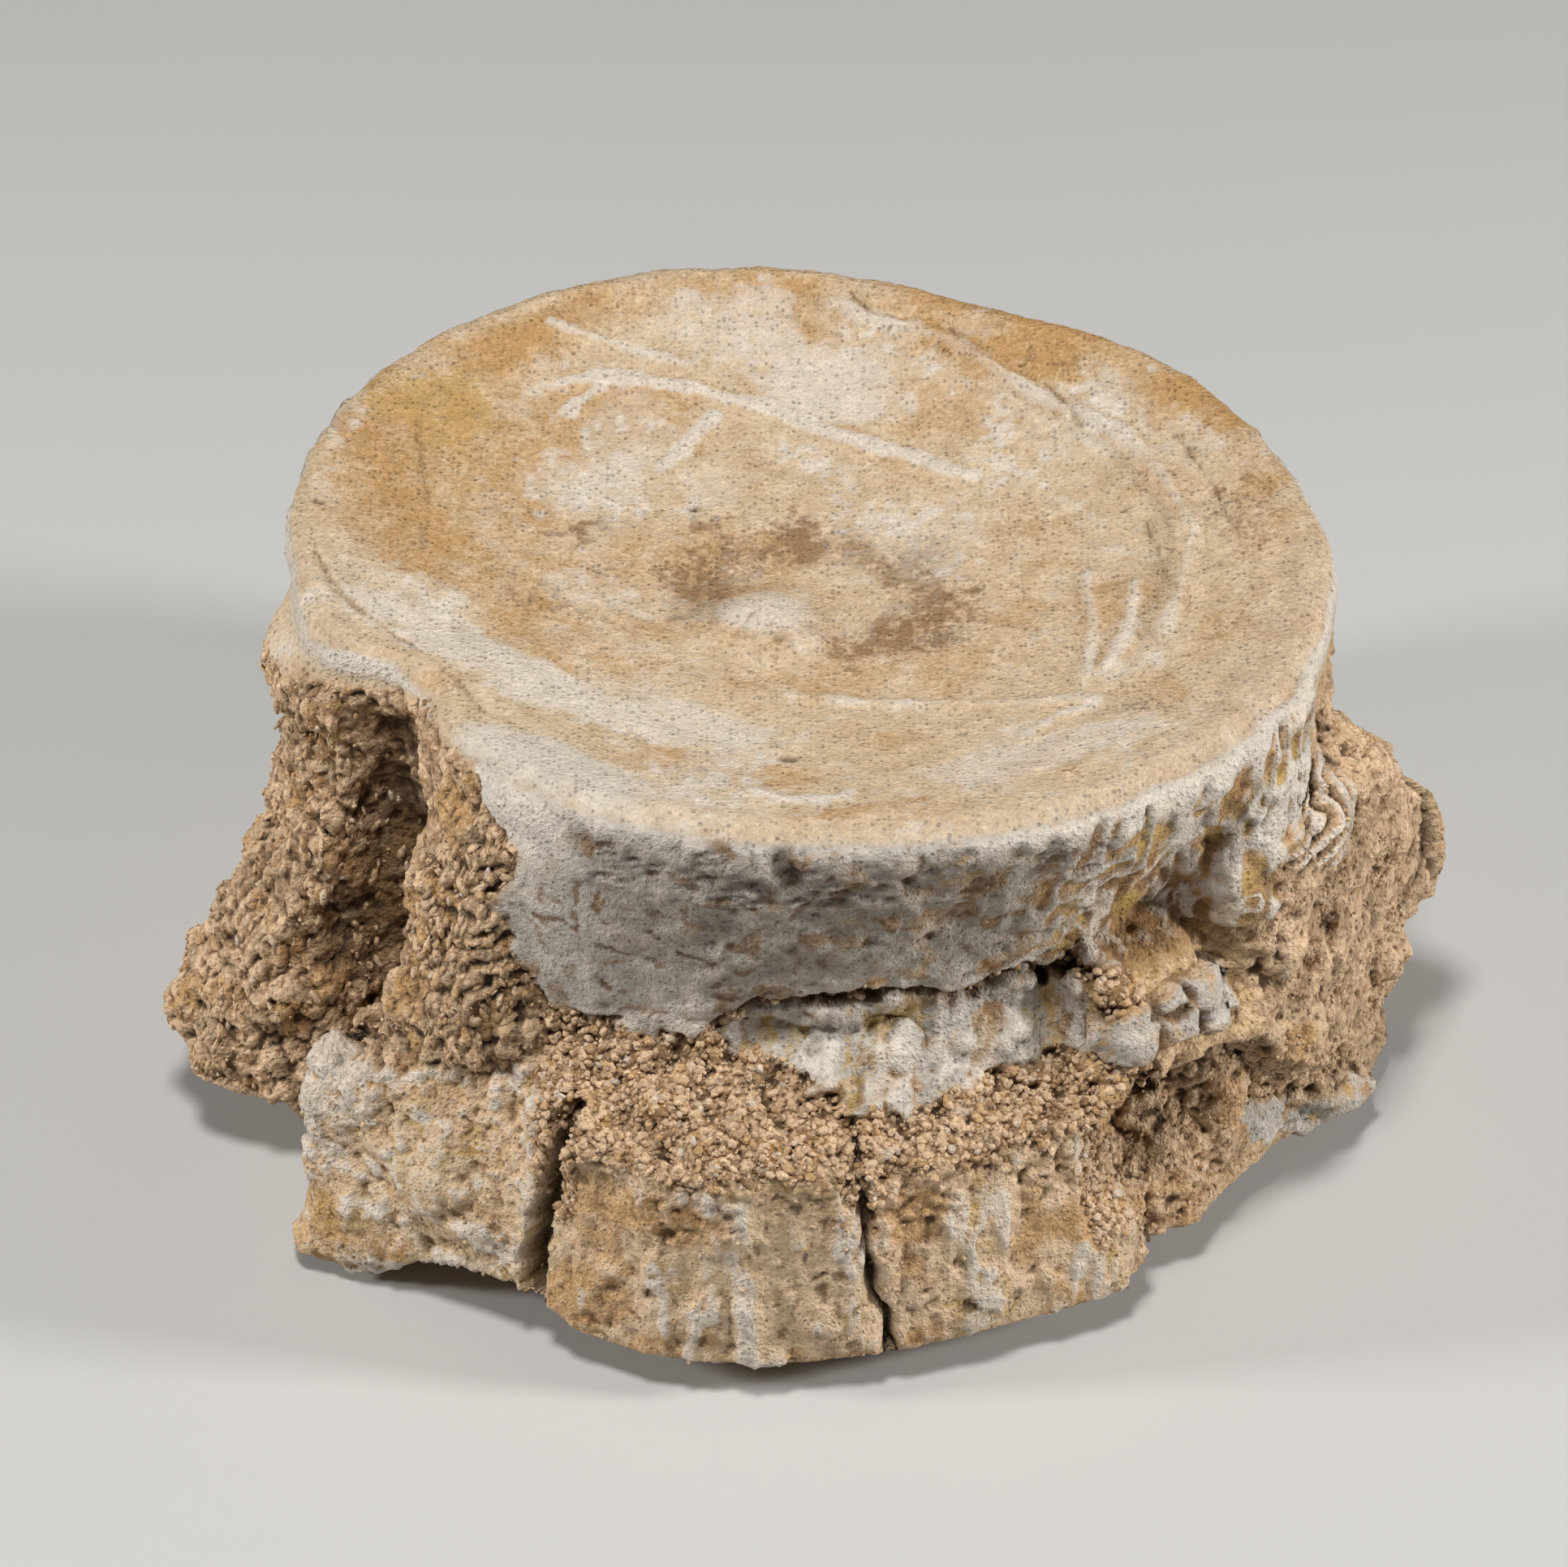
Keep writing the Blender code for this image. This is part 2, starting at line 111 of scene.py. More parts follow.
SLOTS = {
    "upper_end_plate": "end_face_bone",
    "centrum_waist": "crust_bone",
    "lower_end": "rim_bone",
    "left_pedicle_stub": "broken_bone",
    "middle_pedicle_stub": "broken_bone",
    "right_process_stub": "broken_bone",
    "back_process_stub": "broken_bone",
    "rim_fragment_left": "rim_bone",
    "rim_fragment_middle": "rim_bone",
    "rim_fragment_right": "rim_bone",
}


# Plain shapes of a value

def step(value, low, high):
    """Smooth rise from 0 at low to 1 at high."""
    share = np.clip((value - low) / (high - low), 0.0, 1.0)
    return share * share * (3.0 - 2.0 * share)


def between(value, low, high, soft):
    """1 between low and high, fading to 0 over a soft distance outside."""
    return step(value, low - soft, low) * step(value, high + soft, high)


def turn_between(angle, centre):
    return (angle - centre + 180.0) % 360.0 - 180.0


# Noise on points in millimetres

def hashed(cell, salt):
    """A fixed number from 0 to 1 for each whole-number cell."""
    mixed = cell[:, 0] * 73856093 ^ cell[:, 1] * 19349663 ^ cell[:, 2] * 83492791 ^ salt * 374761393
    mixed = (mixed ^ mixed >> 13) * 1274126177 & 0x7FFFFFFF
    mixed = (mixed ^ mixed >> 15) * 668265263 & 0x7FFFFFFF
    return (mixed >> 7 & 0xFFFF) / 65535.0


def lumps(points, size, salt=0):
    """Smooth noise from -1 to 1 with lumps of a size."""
    place = points / size + 17.3 * salt
    cell = np.floor(place).astype(np.int64)
    part = place - cell
    part = part**3 * (part * (part * 6.0 - 15.0) + 10.0)
    total = 0.0
    for corner in np.ndindex(2, 2, 2):
        corner = np.array(corner)
        weight = np.prod(np.where(corner == 1, part, 1.0 - part), axis=1)
        total = total + weight * hashed(cell + corner, salt)
    return total * 2.0 - 1.0


TILT = np.array([[0.36, 0.48, -0.80], [-0.80, 0.60, 0.0], [0.48, 0.64, 0.60]])


def cloud(points, size, octaves=3, salt=0):
    """Several octaves of lumps, each half the size and tilted from the last, from about -1 to 1."""
    total, share = 0.0, 1.0
    for octave in range(octaves):
        total = total + share * lumps(points, size, salt + octave)
        points = points @ TILT
        size, share = size * 0.5, share * 0.55
    return total * 0.72


def grains(points, size, salt=0):
    """Cells of a size: the distance to the nearest middle, the margin to the next, and the cell's number."""
    place = points / size + 5.1 * salt
    cell = np.floor(place).astype(np.int64)
    nearest = np.full(len(points), 9.0)
    second = np.full(len(points), 9.0)
    number = np.zeros(len(points))
    for offset in np.ndindex(3, 3, 3):
        around = cell + (np.array(offset) - 1)
        jitter = np.stack([hashed(around, salt + k) for k in (11, 12, 13)], axis=1)
        away = np.linalg.norm(around + jitter - place, axis=1)
        closer = away < nearest
        second = np.where(closer, nearest, np.minimum(second, away))
        number = np.where(closer, hashed(around, salt + 14), number)
        nearest = np.where(closer, away, nearest)
    return nearest, second - nearest, number


# The skin

def deselect():
    bpy.ops.object.select_all(action="DESELECT")


def copy_of(node):
    """A copy of a frame node, its doubles merged and its surface swollen a little to close the thin cuts."""
    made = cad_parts[node].copy()
    made.data = made.data.copy()
    made.name = node + "_copy"
    made.parent = None
    bpy.context.scene.collection.objects.link(made)
    made.hide_render = False
    deselect()
    made.select_set(True)
    bpy.context.view_layer.objects.active = made
    bpy.ops.object.mode_set(mode="EDIT")
    bpy.ops.mesh.select_all(action="SELECT")
    bpy.ops.mesh.remove_doubles(threshold=0.00001)
    bpy.ops.object.mode_set(mode="OBJECT")
    swell = made.modifiers.new("swell", "DISPLACE")
    swell.mid_level = 0.0
    swell.strength = SWELL * MM
    bpy.ops.object.modifier_apply(modifier="swell")
    return made


def joined_bone():
    """All the frame's nodes in one mesh, with the number of each face's node."""
    copies = [copy_of(node) for node in SLOTS]
    owners = np.concatenate([np.full(len(made.data.polygons), i) for i, made in enumerate(copies)])
    deselect()
    for made in copies:
        made.select_set(True)
    bpy.context.view_layer.objects.active = copies[0]
    bpy.ops.object.join()
    bone = bpy.context.view_layer.objects.active
    bone.name = "bone"
    bone.data.materials.clear()
    return bone, owners


def remeshed(bone):
    """One even, closed mesh over the whole bone, with the facets smoothed away."""
    remesh = bone.modifiers.new("even", "REMESH")
    remesh.mode = "VOXEL"
    remesh.voxel_size = CELL * MM
    bpy.ops.object.modifier_apply(modifier="even")
    smooth = bone.modifiers.new("soften", "SMOOTH")
    smooth.factor = 0.5
    smooth.iterations = SMOOTHING if CELL < 0.5 else SMOOTHING // 2
    bpy.ops.object.modifier_apply(modifier="soften")
    return bone


class Skin:
    """The skin's points and normals as arrays, with the places that the features are described by."""

    def __init__(self, bone):
        self.bone = bone
        count = len(bone.data.vertices)
        self.points = np.empty(count * 3)
        bone.data.vertices.foreach_get("co", self.points)
        self.points = self.points.reshape(-1, 3) / MM
        self.points[:, 0] -= AXIS[0]
        self.points[:, 1] -= AXIS[1]
        self.marks = {}
        self.measure()

    def measure(self):
        """Take the normals and the places again, after the surface has moved."""
        self.store()
        self.normals = np.empty(len(self.points) * 3)
        self.bone.data.vertex_normals.foreach_get("vector", self.normals)
        self.normals = self.normals.reshape(-1, 3)
        self.x, self.y, self.z = self.points.T
        self.radius = np.hypot(self.x, self.y)
        self.angle = np.degrees(np.arctan2(self.y, self.x)) % 360.0

    def store(self):
        place = self.points.copy()
        place[:, 0] += AXIS[0]
        place[:, 1] += AXIS[1]
        self.bone.data.vertices.foreach_set("co", (place * MM).ravel())
        self.bone.data.update()

    def move(self, distance):
        """Move the surface out along its normals, or in where the distance is negative."""
        self.points = self.points + self.normals * distance[:, None]
        self.measure()

    def outwards(self):
        """Unit vectors straight away from the axis."""
        flat = np.stack([self.x, self.y, np.zeros_like(self.x)], axis=1)
        return flat / np.maximum(self.radius, 0.001)[:, None]

    def push(self, distance):
        """Move the surface straight away from the axis."""
        self.points = self.points + self.outwards() * distance[:, None]
        self.measure()

    def on(self, share, pattern, *values, points=None):
        """A pattern where a share is above 0, and 0 elsewhere, on the skin's own points or on bent ones."""
        points = self.points if points is None else points
        inside = share > 0.002
        whole = np.zeros(len(points))
        whole[inside] = pattern(points[inside], *values)
        return whole

    def mark(self, **shares):
        """Keep fields for the material. A later mark of the same name is laid over the first."""
        for name, share in shares.items():
            share = np.clip(share, 0.0, 1.0)
            self.marks[name] = 1.0 - (1.0 - self.marks.get(name, 0.0)) * (1.0 - share)

    def hollows(self, reach):
        """How far each point lies below the surface smoothed over a reach; less than 0 on crests."""
        edges = np.empty(len(self.bone.data.edges) * 2, np.int64)
        self.bone.data.edges.foreach_get("vertices", edges)
        first, second = edges.reshape(-1, 2).T
        count = sum(np.bincount(end, minlength=len(self.points)) for end in (first, second))
        smooth = self.points
        for turn in range(max(2, round((reach / CELL) ** 2))):
            total = np.empty_like(smooth)
            for axis in range(3):
                total[:, axis] = np.bincount(first, smooth[second, axis], len(smooth))
                total[:, axis] += np.bincount(second, smooth[first, axis], len(smooth))
            smooth = total / count[:, None]
        return np.sum((smooth - self.points) * self.normals, axis=1)

    def wipe(self, name, share):
        self.marks[name] = self.marks.get(name, np.zeros_like(self.z)) * (1.0 - np.clip(share, 0.0, 1.0))


def from_line(skin, points, flank=False):
    """Distance of each point from a line on the end face, or on the flank as (direction, height) points."""
    if flank:
        reach = DRAWING_RADIUS
        across = np.radians(turn_between(skin.angle, points[0][0])) * reach
        points = [(math.radians(turn_between(a, points[0][0])) * reach, h) for a, h in points]
        place = np.stack([across, skin.z], axis=1)
    else:
        place = np.stack([skin.x, skin.y], axis=1)
    nearest = np.full(len(place), 999.0)
    for start, end in zip(points, points[1:]):
        start, way = np.array(start, float), np.array(end, float) - np.array(start, float)
        along = np.clip((place - start) @ way / (way @ way), 0.0, 1.0)
        nearest = np.minimum(nearest, np.linalg.norm(place - start - along[:, None] * way, axis=1))
    return nearest


def blot(skin, middle, size, turn=0.0, ragged=0.35, salt=0):
    """1 inside an oval on the end face with a ragged edge, fading to 0 outside."""
    turn = math.radians(turn)
    x, y = skin.x - middle[0], skin.y - middle[1]
    along = (x * math.cos(turn) + y * math.sin(turn)) / size[0]
    across = (y * math.cos(turn) - x * math.sin(turn)) / size[1]
    reach = np.hypot(along, across)
    reach = reach + ragged * skin.on(reach < 1.25 + 1.2 * ragged, cloud, 5.0, 4, salt)
    return step(reach, 1.25, 0.55)


def flank_blot(skin, direction, height, half_angle, half_height, ragged=0.3, salt=0):
    """1 inside an oval on the flank with a ragged edge, fading to 0 outside."""
    along = turn_between(skin.angle, direction) / half_angle
    across = (skin.z - height) / half_height
    reach = np.hypot(along, across)
    reach = reach + ragged * skin.on(reach < 1.2 + 1.2 * ragged, cloud, 4.0, 4, salt)
    return step(reach, 1.2, 0.75)


# Where the features lie. Lines are drawn by their corners, (x, y) on the end face and (direction, height) on
# the flank; the crust's two side edges are (height, direction)

CRUST_LEFT = (
    (64, 225), (61, 228), (57, 234.5), (53, 233.5), (50, 231.5), (46, 233), (38, 236.5),
)
CRUST_RIGHT = (
    (60, 338), (51.7, 334), (47, 327), (34, 324.5), (23, 327.5), (8, 334), (0, 340),
)
CRUST_FOOT = (
    (230, 44), (234, 41), (238, 38.8), (246, 37.6), (254, 36.6), (258, 39.3), (262, 41.2),
    (269, 42.4), (280, 42.4), (291, 41.4), (297, 43), (303, 40.6), (311, 41.6), (330, 41),
)
PLATE_FOOT = (
    (252, 38), (258, 36), (260, 34.4), (267, 33.4), (271, 31.8), (275, 30.4), (280, 30.4),
    (287, 30.8), (293, 31.4), (301, 33), (306, 33.5),
)
# Each crack of the rim has its line, half its width and its depth
RIM_CRACKS = (
    (((243, 30), (241.5, 23), (240, 16), (239.3, 10), (239, 0)), 0.95, 4),
    (((274.6, 29), (275.2, 22), (275.8, 16), (276.2, 12), (277.8, 9.5), (278.2, 3)), 0.3, 2.6),
)
BREAK_TOP = (
    (178, 56.5), (185, 57.5), (192, 58.5), (198, 60.5), (203, 59.5), (207, 60.8), (213, 62.8),
    (220, 63.3), (226, 62), (240, 60),
)
LIP_NOTCH = ((266, 65.5), (266.2, 62), (267, 59))
WALL_CRACKS = (
    ((242, 55.5), (241.4, 52), (241.8, 49)),
    ((244.2, 54.9), (243.6, 53), (244.8, 51)),
    ((236, 50), (240, 50.6), (243, 48.4), (247, 47), (250, 46.6)),
    ((250, 50.6), (254, 47.8), (258, 47)),
    ((266, 54), (269, 56), (272, 61)),
    ((243, 48.4), (242, 45), (244, 42)),
    ((282, 62), (280.6, 59)),
)
BLOCK_CRACKS = (
    ((309, 41), (309.6, 37), (308.6, 34), (309.4, 30)),
    ((314.6, 41), (314, 38), (315.4, 34.6), (315, 29)),
    ((309, 36.8), (314.6, 35.8)),
)
# Each ridge of the end face has its line, half its width, its height and its whiteness
FACE_RIDGES = (
    (((-25.8, 30.7), (-21.7, 32.5), (-12.6, 31.5), (-3.5, 28.5), (3.1, 24.6), (16.1, 17.7)), 0.9, 0.22, 0.9),
    (((-10.1, 27.6), (-14.9, 20.1)), 0.8, 0.15, 0.9),
    (((-21.5, 31.4), (-25, 27)), 0.6, 0.1, 0.6),
    (((-26.8, 38.8), (-19.3, 36.6), (-13, 34.8)), 0.6, 0.15, 0.5),
    (((2, 42.6), (15.6, 35.6), (24.5, 26.8), (30.6, 22.4), (34.6, 14.6), (37.6, 5.8), (35.6, -4.6),
      (34, -11)), 0.9, 0.5, 0.35),
    (((26.8, 0.6), (27.2, -8), (26, -17)), 0.7, 0.25, 0.4),
    (((31.4, -2), (30.6, -9), (28.4, -15)), 0.7, 0.3, 0.5),
    (((-2, -18.5), (10, -19.6), (20, -20.4), (27, -20.6)), 0.7, 0.25, 0.35),
    (((20, -26.5), (23, -23.5), (27, -21.8)), 0.6, 0.15, 0.5),
    (((-5.4, -37), (-3.4, -39), (0.6, -39.2), (3, -37.4)), 0.7, 0.2, 0.8),
)
# Each crack of the end face has its line, half its width and its depth
FACE_CRACKS = (
    (((-48.6, -2), (-46.2, -7.6), (-39.6, -13.4), (-35.4, -18.6), (-31.4, -25.6)), 0.25, 0.35),
    (((-39.8, 22.3), (-39.2, 15), (-38, 10), (-38.6, 2.3)), 0.12, 0.16),
    (((32.8, 8.6), (34, 3), (35.4, -3.9)), 0.25, 0.35),
    (((14, 38), (18, 34), (24, 29.6), (27, 24)), 0.35, 0.35),
    (((36.6, 20), (40, 11), (41, 6)), 0.25, 0.25),
    (((4, 44), (6, 41), (9.4, 39.6)), 0.4, 0.3),
)
# Each stain has its middle, its half length and half width, its turn and its strength
FACE_OCHRES = (
    ((-36, 12), (13, 24), 20, 0.7), ((-22, 26), (14, 9), 20, 0.6),
    ((-14, 4), (15, 9), -10, 0.45), ((24, 34), (22, 6), -36, 0.75),
    ((4, 39), (14, 4), -12, 0.5), ((-24, -12), (12, 6), -30, 0.5),
    ((-8, -33), (14, 3.6), -8, 0.6), ((8, -41), (13, 2.6), 6, 0.7),
    ((12, 28), (12, 5), -20, 0.5), ((20, 4), (12, 16), 30, 0.35),
    ((-32, 33), (9, 3.5), 40, 0.5),
)
FACE_BROWNS = (
    ((-24, 10), (6, 4), 10, 0.75), ((-13, 12), (5, 3.4), 20, 0.7),
    ((-24, -3), (7, 3), -15, 0.65), ((-10, -27), (4, 1.6), -10, 0.5),
    ((26, 32), (14, 3), -38, 0.45), ((42, 8), (3, 8), 0, 0.35),
    ((-38, 27), (6, 5), 45, 0.4), ((-6, -34), (8, 1.4), -6, 0.45),
)
FACE_WHITES = (
    ((-6, 40), (9, 6), 0, 0.6), ((2, 31), (8, 5), -30, 0.65),
    ((-30, -17), (16, 4), -32, 0.65), ((-12, -24), (14, 4), -18, 0.5),
    ((-4, -6), (7, 4), 0, 0.4), ((31, -12), (5, 7), 0, 0.4),
    ((22, -30), (12, 4), 20, 0.5), ((34, 20), (10, 4), -50, 0.3),
    ((-20, 18), (7, 3), 50, 0.35), ((-10, 17), (6, 4), 50, 0.35),
    ((-18, -2), (9, 4), -10, 0.35),
)
FACE_SMUDGES = (
    ((12.4, -7.3), (3, 2)), ((30.5, -23.5), (5, 1.8)), ((-17.3, -27), (3.4, 1.4)),
    ((41, 9), (3.5, 2)), ((-20, 2), (3, 2)),
)
FACE_PITS = (
    (-2.7, -29.8, 1.1), (-11.9, 13.5, 0.5), (30.8, 10.3, 0.6), (-48.7, 6.5, 0.8), (13.9, -25.5, 0.5),
)

# How far the parts of the skin are moved, in millimetres: out for the plates, in for the hollows
WALL_OUT, PLATE_OUT, BLOCK_OUT, SHELF_OUT = 0.9, 0.8, 1.9, 0.9
RECESS_DEPTH, NOTCH_DEPTH, GROOVE_DEPTH, CANAL_DEPTH = 2.4, 0.9, 0.8, 1.8
CHIP_HEIGHT, LEAF_HEIGHT, GRAIN_HEIGHT = 0.62, 1.25, 0.6
BOSS_HEIGHT, BOSS_RADIUS = 1.1, 4.2
MOAT_DEPTH, MOAT_RADIUS, MOAT_WIDTH = 0.7, 9, 3.2

# How far apart the curled leaves of the broken bone lie
FAN_SPACING, STACK_SPACING = 1.7, 2.1

# The radius of the flank and of the end face, for measures along them, and the middle of the front
FLANK_RADIUS = 50
DRAWING_RADIUS = 48
FACE_RADIUS = 49
FRONT = 270


def along(points, value):
    """The second number of a list of pairs at a place along the first."""
    pairs = sorted(points)
    return np.interp(value, [pair[0] for pair in pairs], [pair[1] for pair in pairs])


def sector(skin, start, end, soft=2):
    """1 between two directions on the flank, fading to 0 outside."""
    middle = (start + end) / 2
    return between(turn_between(skin.angle, middle), start - middle, end - middle, soft)


# The regions of the bone's surface

def find_regions(skin):
    """Shares of the end face, the crust, the broken spongy bone and the rest, from their edges."""
    wobble = cloud(skin.points, 4, 3, 3)
    edge = 1.4 * wobble + 0.6 * cloud(skin.points, 1.6, 2, 5)
    height = skin.z + edge
    direction = (skin.angle + 1.2 * edge) % 360
    up = skin.normals[:, 2]
    skin.wobble = wobble
    skin.face = step(up, 0.45, 0.8) * step(skin.z, 55.5, 57.5)
    skin.under = step(up, -0.55, -0.8) * step(skin.z, 12, 9)
    side = (1 - skin.face) * (1 - skin.under)
    skin.side = side
    left = along(CRUST_LEFT, skin.z)
    right = along(CRUST_RIGHT, skin.z)
    front = side * step(direction, left - 0.6, left + 0.6) * step(direction, right + 0.6, right - 0.6)
    skin.front = front
    foot = along(CRUST_FOOT, direction)
    skin.wall_height = height - foot
    skin.wall = front * step(skin.wall_height, -0.4, 0.4)
    under_wall = step(height - foot, -0.6, -1.6)
    skin.plate = side * sector(skin, 254, 304, 1.5) * under_wall
    skin.plate *= step(height - along(PLATE_FOOT, direction), -0.4, 0.4)
    crest = 38.4 - 0.02 * (skin.angle - 312) ** 2
    base = 33.2 - 0.25 * np.clip(skin.angle - 312, 0, 10)
    skin.block = side * sector(skin, 304.6, 323, 0.5) * step(skin.z + 0.4 * edge, base - 0.3, base + 0.3)
    skin.block *= step(skin.z + 0.4 * edge, crest + 0.3, crest - 0.3)
    sloping = height + 0.4 * (skin.angle - 333)
    skin.shelf = side * sector(skin, 328, 349, 2) * between(sloping, 8, 12.4, 0.8)
    sloping = height + 0.25 * (skin.angle - 322)
    skin.foot = side * sector(skin, 304, 331, 2.5) * step(sloping, 29, 27)
    skin.foot *= step(turn_between(skin.angle, 325) - 1.2 * (skin.z - 10), 6, -6)
    slab_top = 27 + 5 * step(skin.angle, 214, 236) + edge
    skin.slab = side * sector(skin, 213.5, 239.5, 0.8) * step(skin.z, slab_top + 0.3, slab_top - 0.3)
    skin.over_slab = side * sector(skin, 214, 240, 1) * between(skin.z - slab_top, 0.6, 3, 0.8)
    low_band = side * step(skin.z, 27.4 + 1.6 * wobble, 25.8 + 1.6 * wobble)
    skin.band = sector(skin, 240.5, 307, 0.8) * low_band
    back = sector(skin, 84, 178, 3) + sector(skin, 5, 52, 3)
    skin.back_band = back * low_band
    skin.left_break = side * sector(skin, 179, 240, 2) * (1 - front) * (1 - skin.slab)
    break_top = along(BREAK_TOP, skin.angle) + 0.8 * wobble
    skin.left_break *= step(skin.z, break_top + 0.5, break_top - 0.5)
    skin.right_break = side * step(direction, right - 0.6, right + 0.6) * sector(skin, 322, 366, 2)
    skin.right_break *= step(skin.z, 55, 52) * (1 - skin.shelf)
    skin.back_break = side * sector(skin, 53, 83, 2) * step(skin.z, 55, 52)
    skin.foot *= 1 - np.maximum.reduce([skin.block, skin.shelf, skin.band])
    skin.broken = np.maximum.reduce([skin.left_break, skin.right_break, skin.back_break, skin.foot])
    above_band = step(height, 26, 27.6)
    front_ledge = sector(skin, 238, 308, 2) * above_band * (1 - np.maximum(skin.wall, skin.plate))
    front_ledge *= step(skin.z, 47, 44)
    back_ledge = back * above_band * step(height, 37 + 3 * wobble, 34 + 3 * wobble)
    skin.ledge = side * np.maximum(front_ledge * (1 - skin.block), back_ledge)
    skin.back_wall = side * np.clip(back - skin.back_band - back_ledge, 0, 1)
    skin.crust = np.maximum.reduce([skin.wall, skin.plate, skin.block, skin.shelf, skin.back_wall])
    skin.rim = np.maximum.reduce([skin.slab, skin.band, skin.back_band])


# Patterns on points in millimetres

def pebbles(points, size, salt):
    """Rounded domes of a size, set close, each with its own height."""
    nearest, _, number = grains(points, size, salt)
    return np.sqrt(np.clip(1 - (nearest / 0.62) ** 2, 0, 1)) * (0.5 + 0.5 * number)


def shards(points, size, salt):
    """Angular chips of a size, set close, each with its own height and steep sides."""
    _, margin, number = grains(points, size, salt)
    return (0.35 + 0.65 * number) * step(margin, 0, 0.22)


def holes(points, size, salt, few=0.5):
    """Ragged holes in some of the cells of a size."""
    nearest, _, number = grains(points, size, salt)
    nearest = nearest + 0.22 * cloud(points, size * 0.5, 2, salt)
    return step(number, few, few + 0.04) * step(nearest, 0.46, 0.16)


def terraces(field, count):
    """A field cut into steps with steep edges, as where thin layers have flaked away."""
    level = np.floor(field * count)
    return (level + step(field * count - level, 0.3, 0.7)) / count


def worms(points, size, salt):
    """Winding ridges, 1 along their crests."""
    return 1 - np.abs(lumps(points, size, salt)) * 2


# Sculpting, region by region

def sculpt_crust(skin):
    """The crust lies on the spongy bone as a thin plate with a ragged edge, flaked steps and fine cracks."""
    recess = skin.side * flank_blot(skin, 311, 25, 9, 5.6, 0.25, 65) * (1 - skin.block)
    oval = skin.side * flank_blot(skin, 257, 38.4, 5.2, 3, 0.15, 22)
    step_out = WALL_OUT * skin.wall + PLATE_OUT * skin.plate + BLOCK_OUT * skin.block
    step_out = step_out + SHELF_OUT * skin.shelf + 0.5 * oval
    groove = skin.front * sector(skin, 262, 303) * between(skin.wall_height, -1.2, -0.4, 0.5)
    swell = 0.25 * cloud(skin.points, 8, 2, 21)
    flakes = terraces(skin.on(skin.crust, cloud, 4, 3, 23), 3)
    rough = skin.on(skin.crust, cloud, 1.8, 3, 24)
    pits = skin.on(skin.crust, holes, 1.9, 25, 0.9)
    cracks = np.zeros_like(skin.z)
    wander = 0.5 * cloud(skin.points, 1.5, 2, 27)
    for line in WALL_CRACKS:
        cracks = np.maximum(cracks, 0.55 * step(from_line(skin, line, flank=True) + wander, 0.3, 0))
    for line in BLOCK_CRACKS:
        cracks = np.maximum(cracks, step(from_line(skin, line, flank=True) + wander, 0.7, 0.1))
    cracks *= skin.crust
    hole = skin.side * flank_blot(skin, 301, 41.6, 3, 1.6, 0.4, 29)
    slant = np.array([[0.9, 0.0, -0.5], [0.0, 0.9, 0.5], [0.3, 0.0, 2.2]])
    wrinkle = skin.on(skin.wall, worms, 2, 28, points=skin.points @ slant)
    under_lip = skin.wall * between(skin.z, 56.5, 61.8, 1.5) * sector(skin, 244, 302, 5)
    notch = skin.side * step(from_line(skin, LIP_NOTCH, flank=True) + 0.7 * wander, 1.5, 0.4)
    calm = 1 - 0.6 * sector(skin, 224, 252, 6)
    relief = skin.crust * (swell + (0.55 * flakes + 0.22 * rough - 0.3 * pits) * calm)
    relief = relief - (0.3 + 0.7 * skin.block) * cracks + 0.3 * under_lip * wrinkle
    skin.move(
        step_out - GROOVE_DEPTH * groove + relief - 0.5 * hole - RECESS_DEPTH * recess - NOTCH_DEPTH * notch
    )
    # Painted shade in the groove under the wall, in its cracks, pits and hole, and in the notch of the lip
    skin.mark(deep=0.6 * groove + 0.4 * cracks + 0.4 * pits * skin.crust + 0.2 * hole + 0.5 * notch)
    # Painted shade in the troughs of the wrinkles under the lip
    skin.mark(deep=0.4 * under_lip * step(wrinkle, 0.1, -0.6))
    # Brown in the cracks and the hole; the recess under the block brown and darker, partly its own stain and
    # soil, partly painted shade under the block
    skin.mark(brown=0.8 * step(cracks, 0.05, 0.5) + 0.6 * hole + 0.7 * recess, dirt=0.5 * recess)
    skin.mark(spongy=recess)


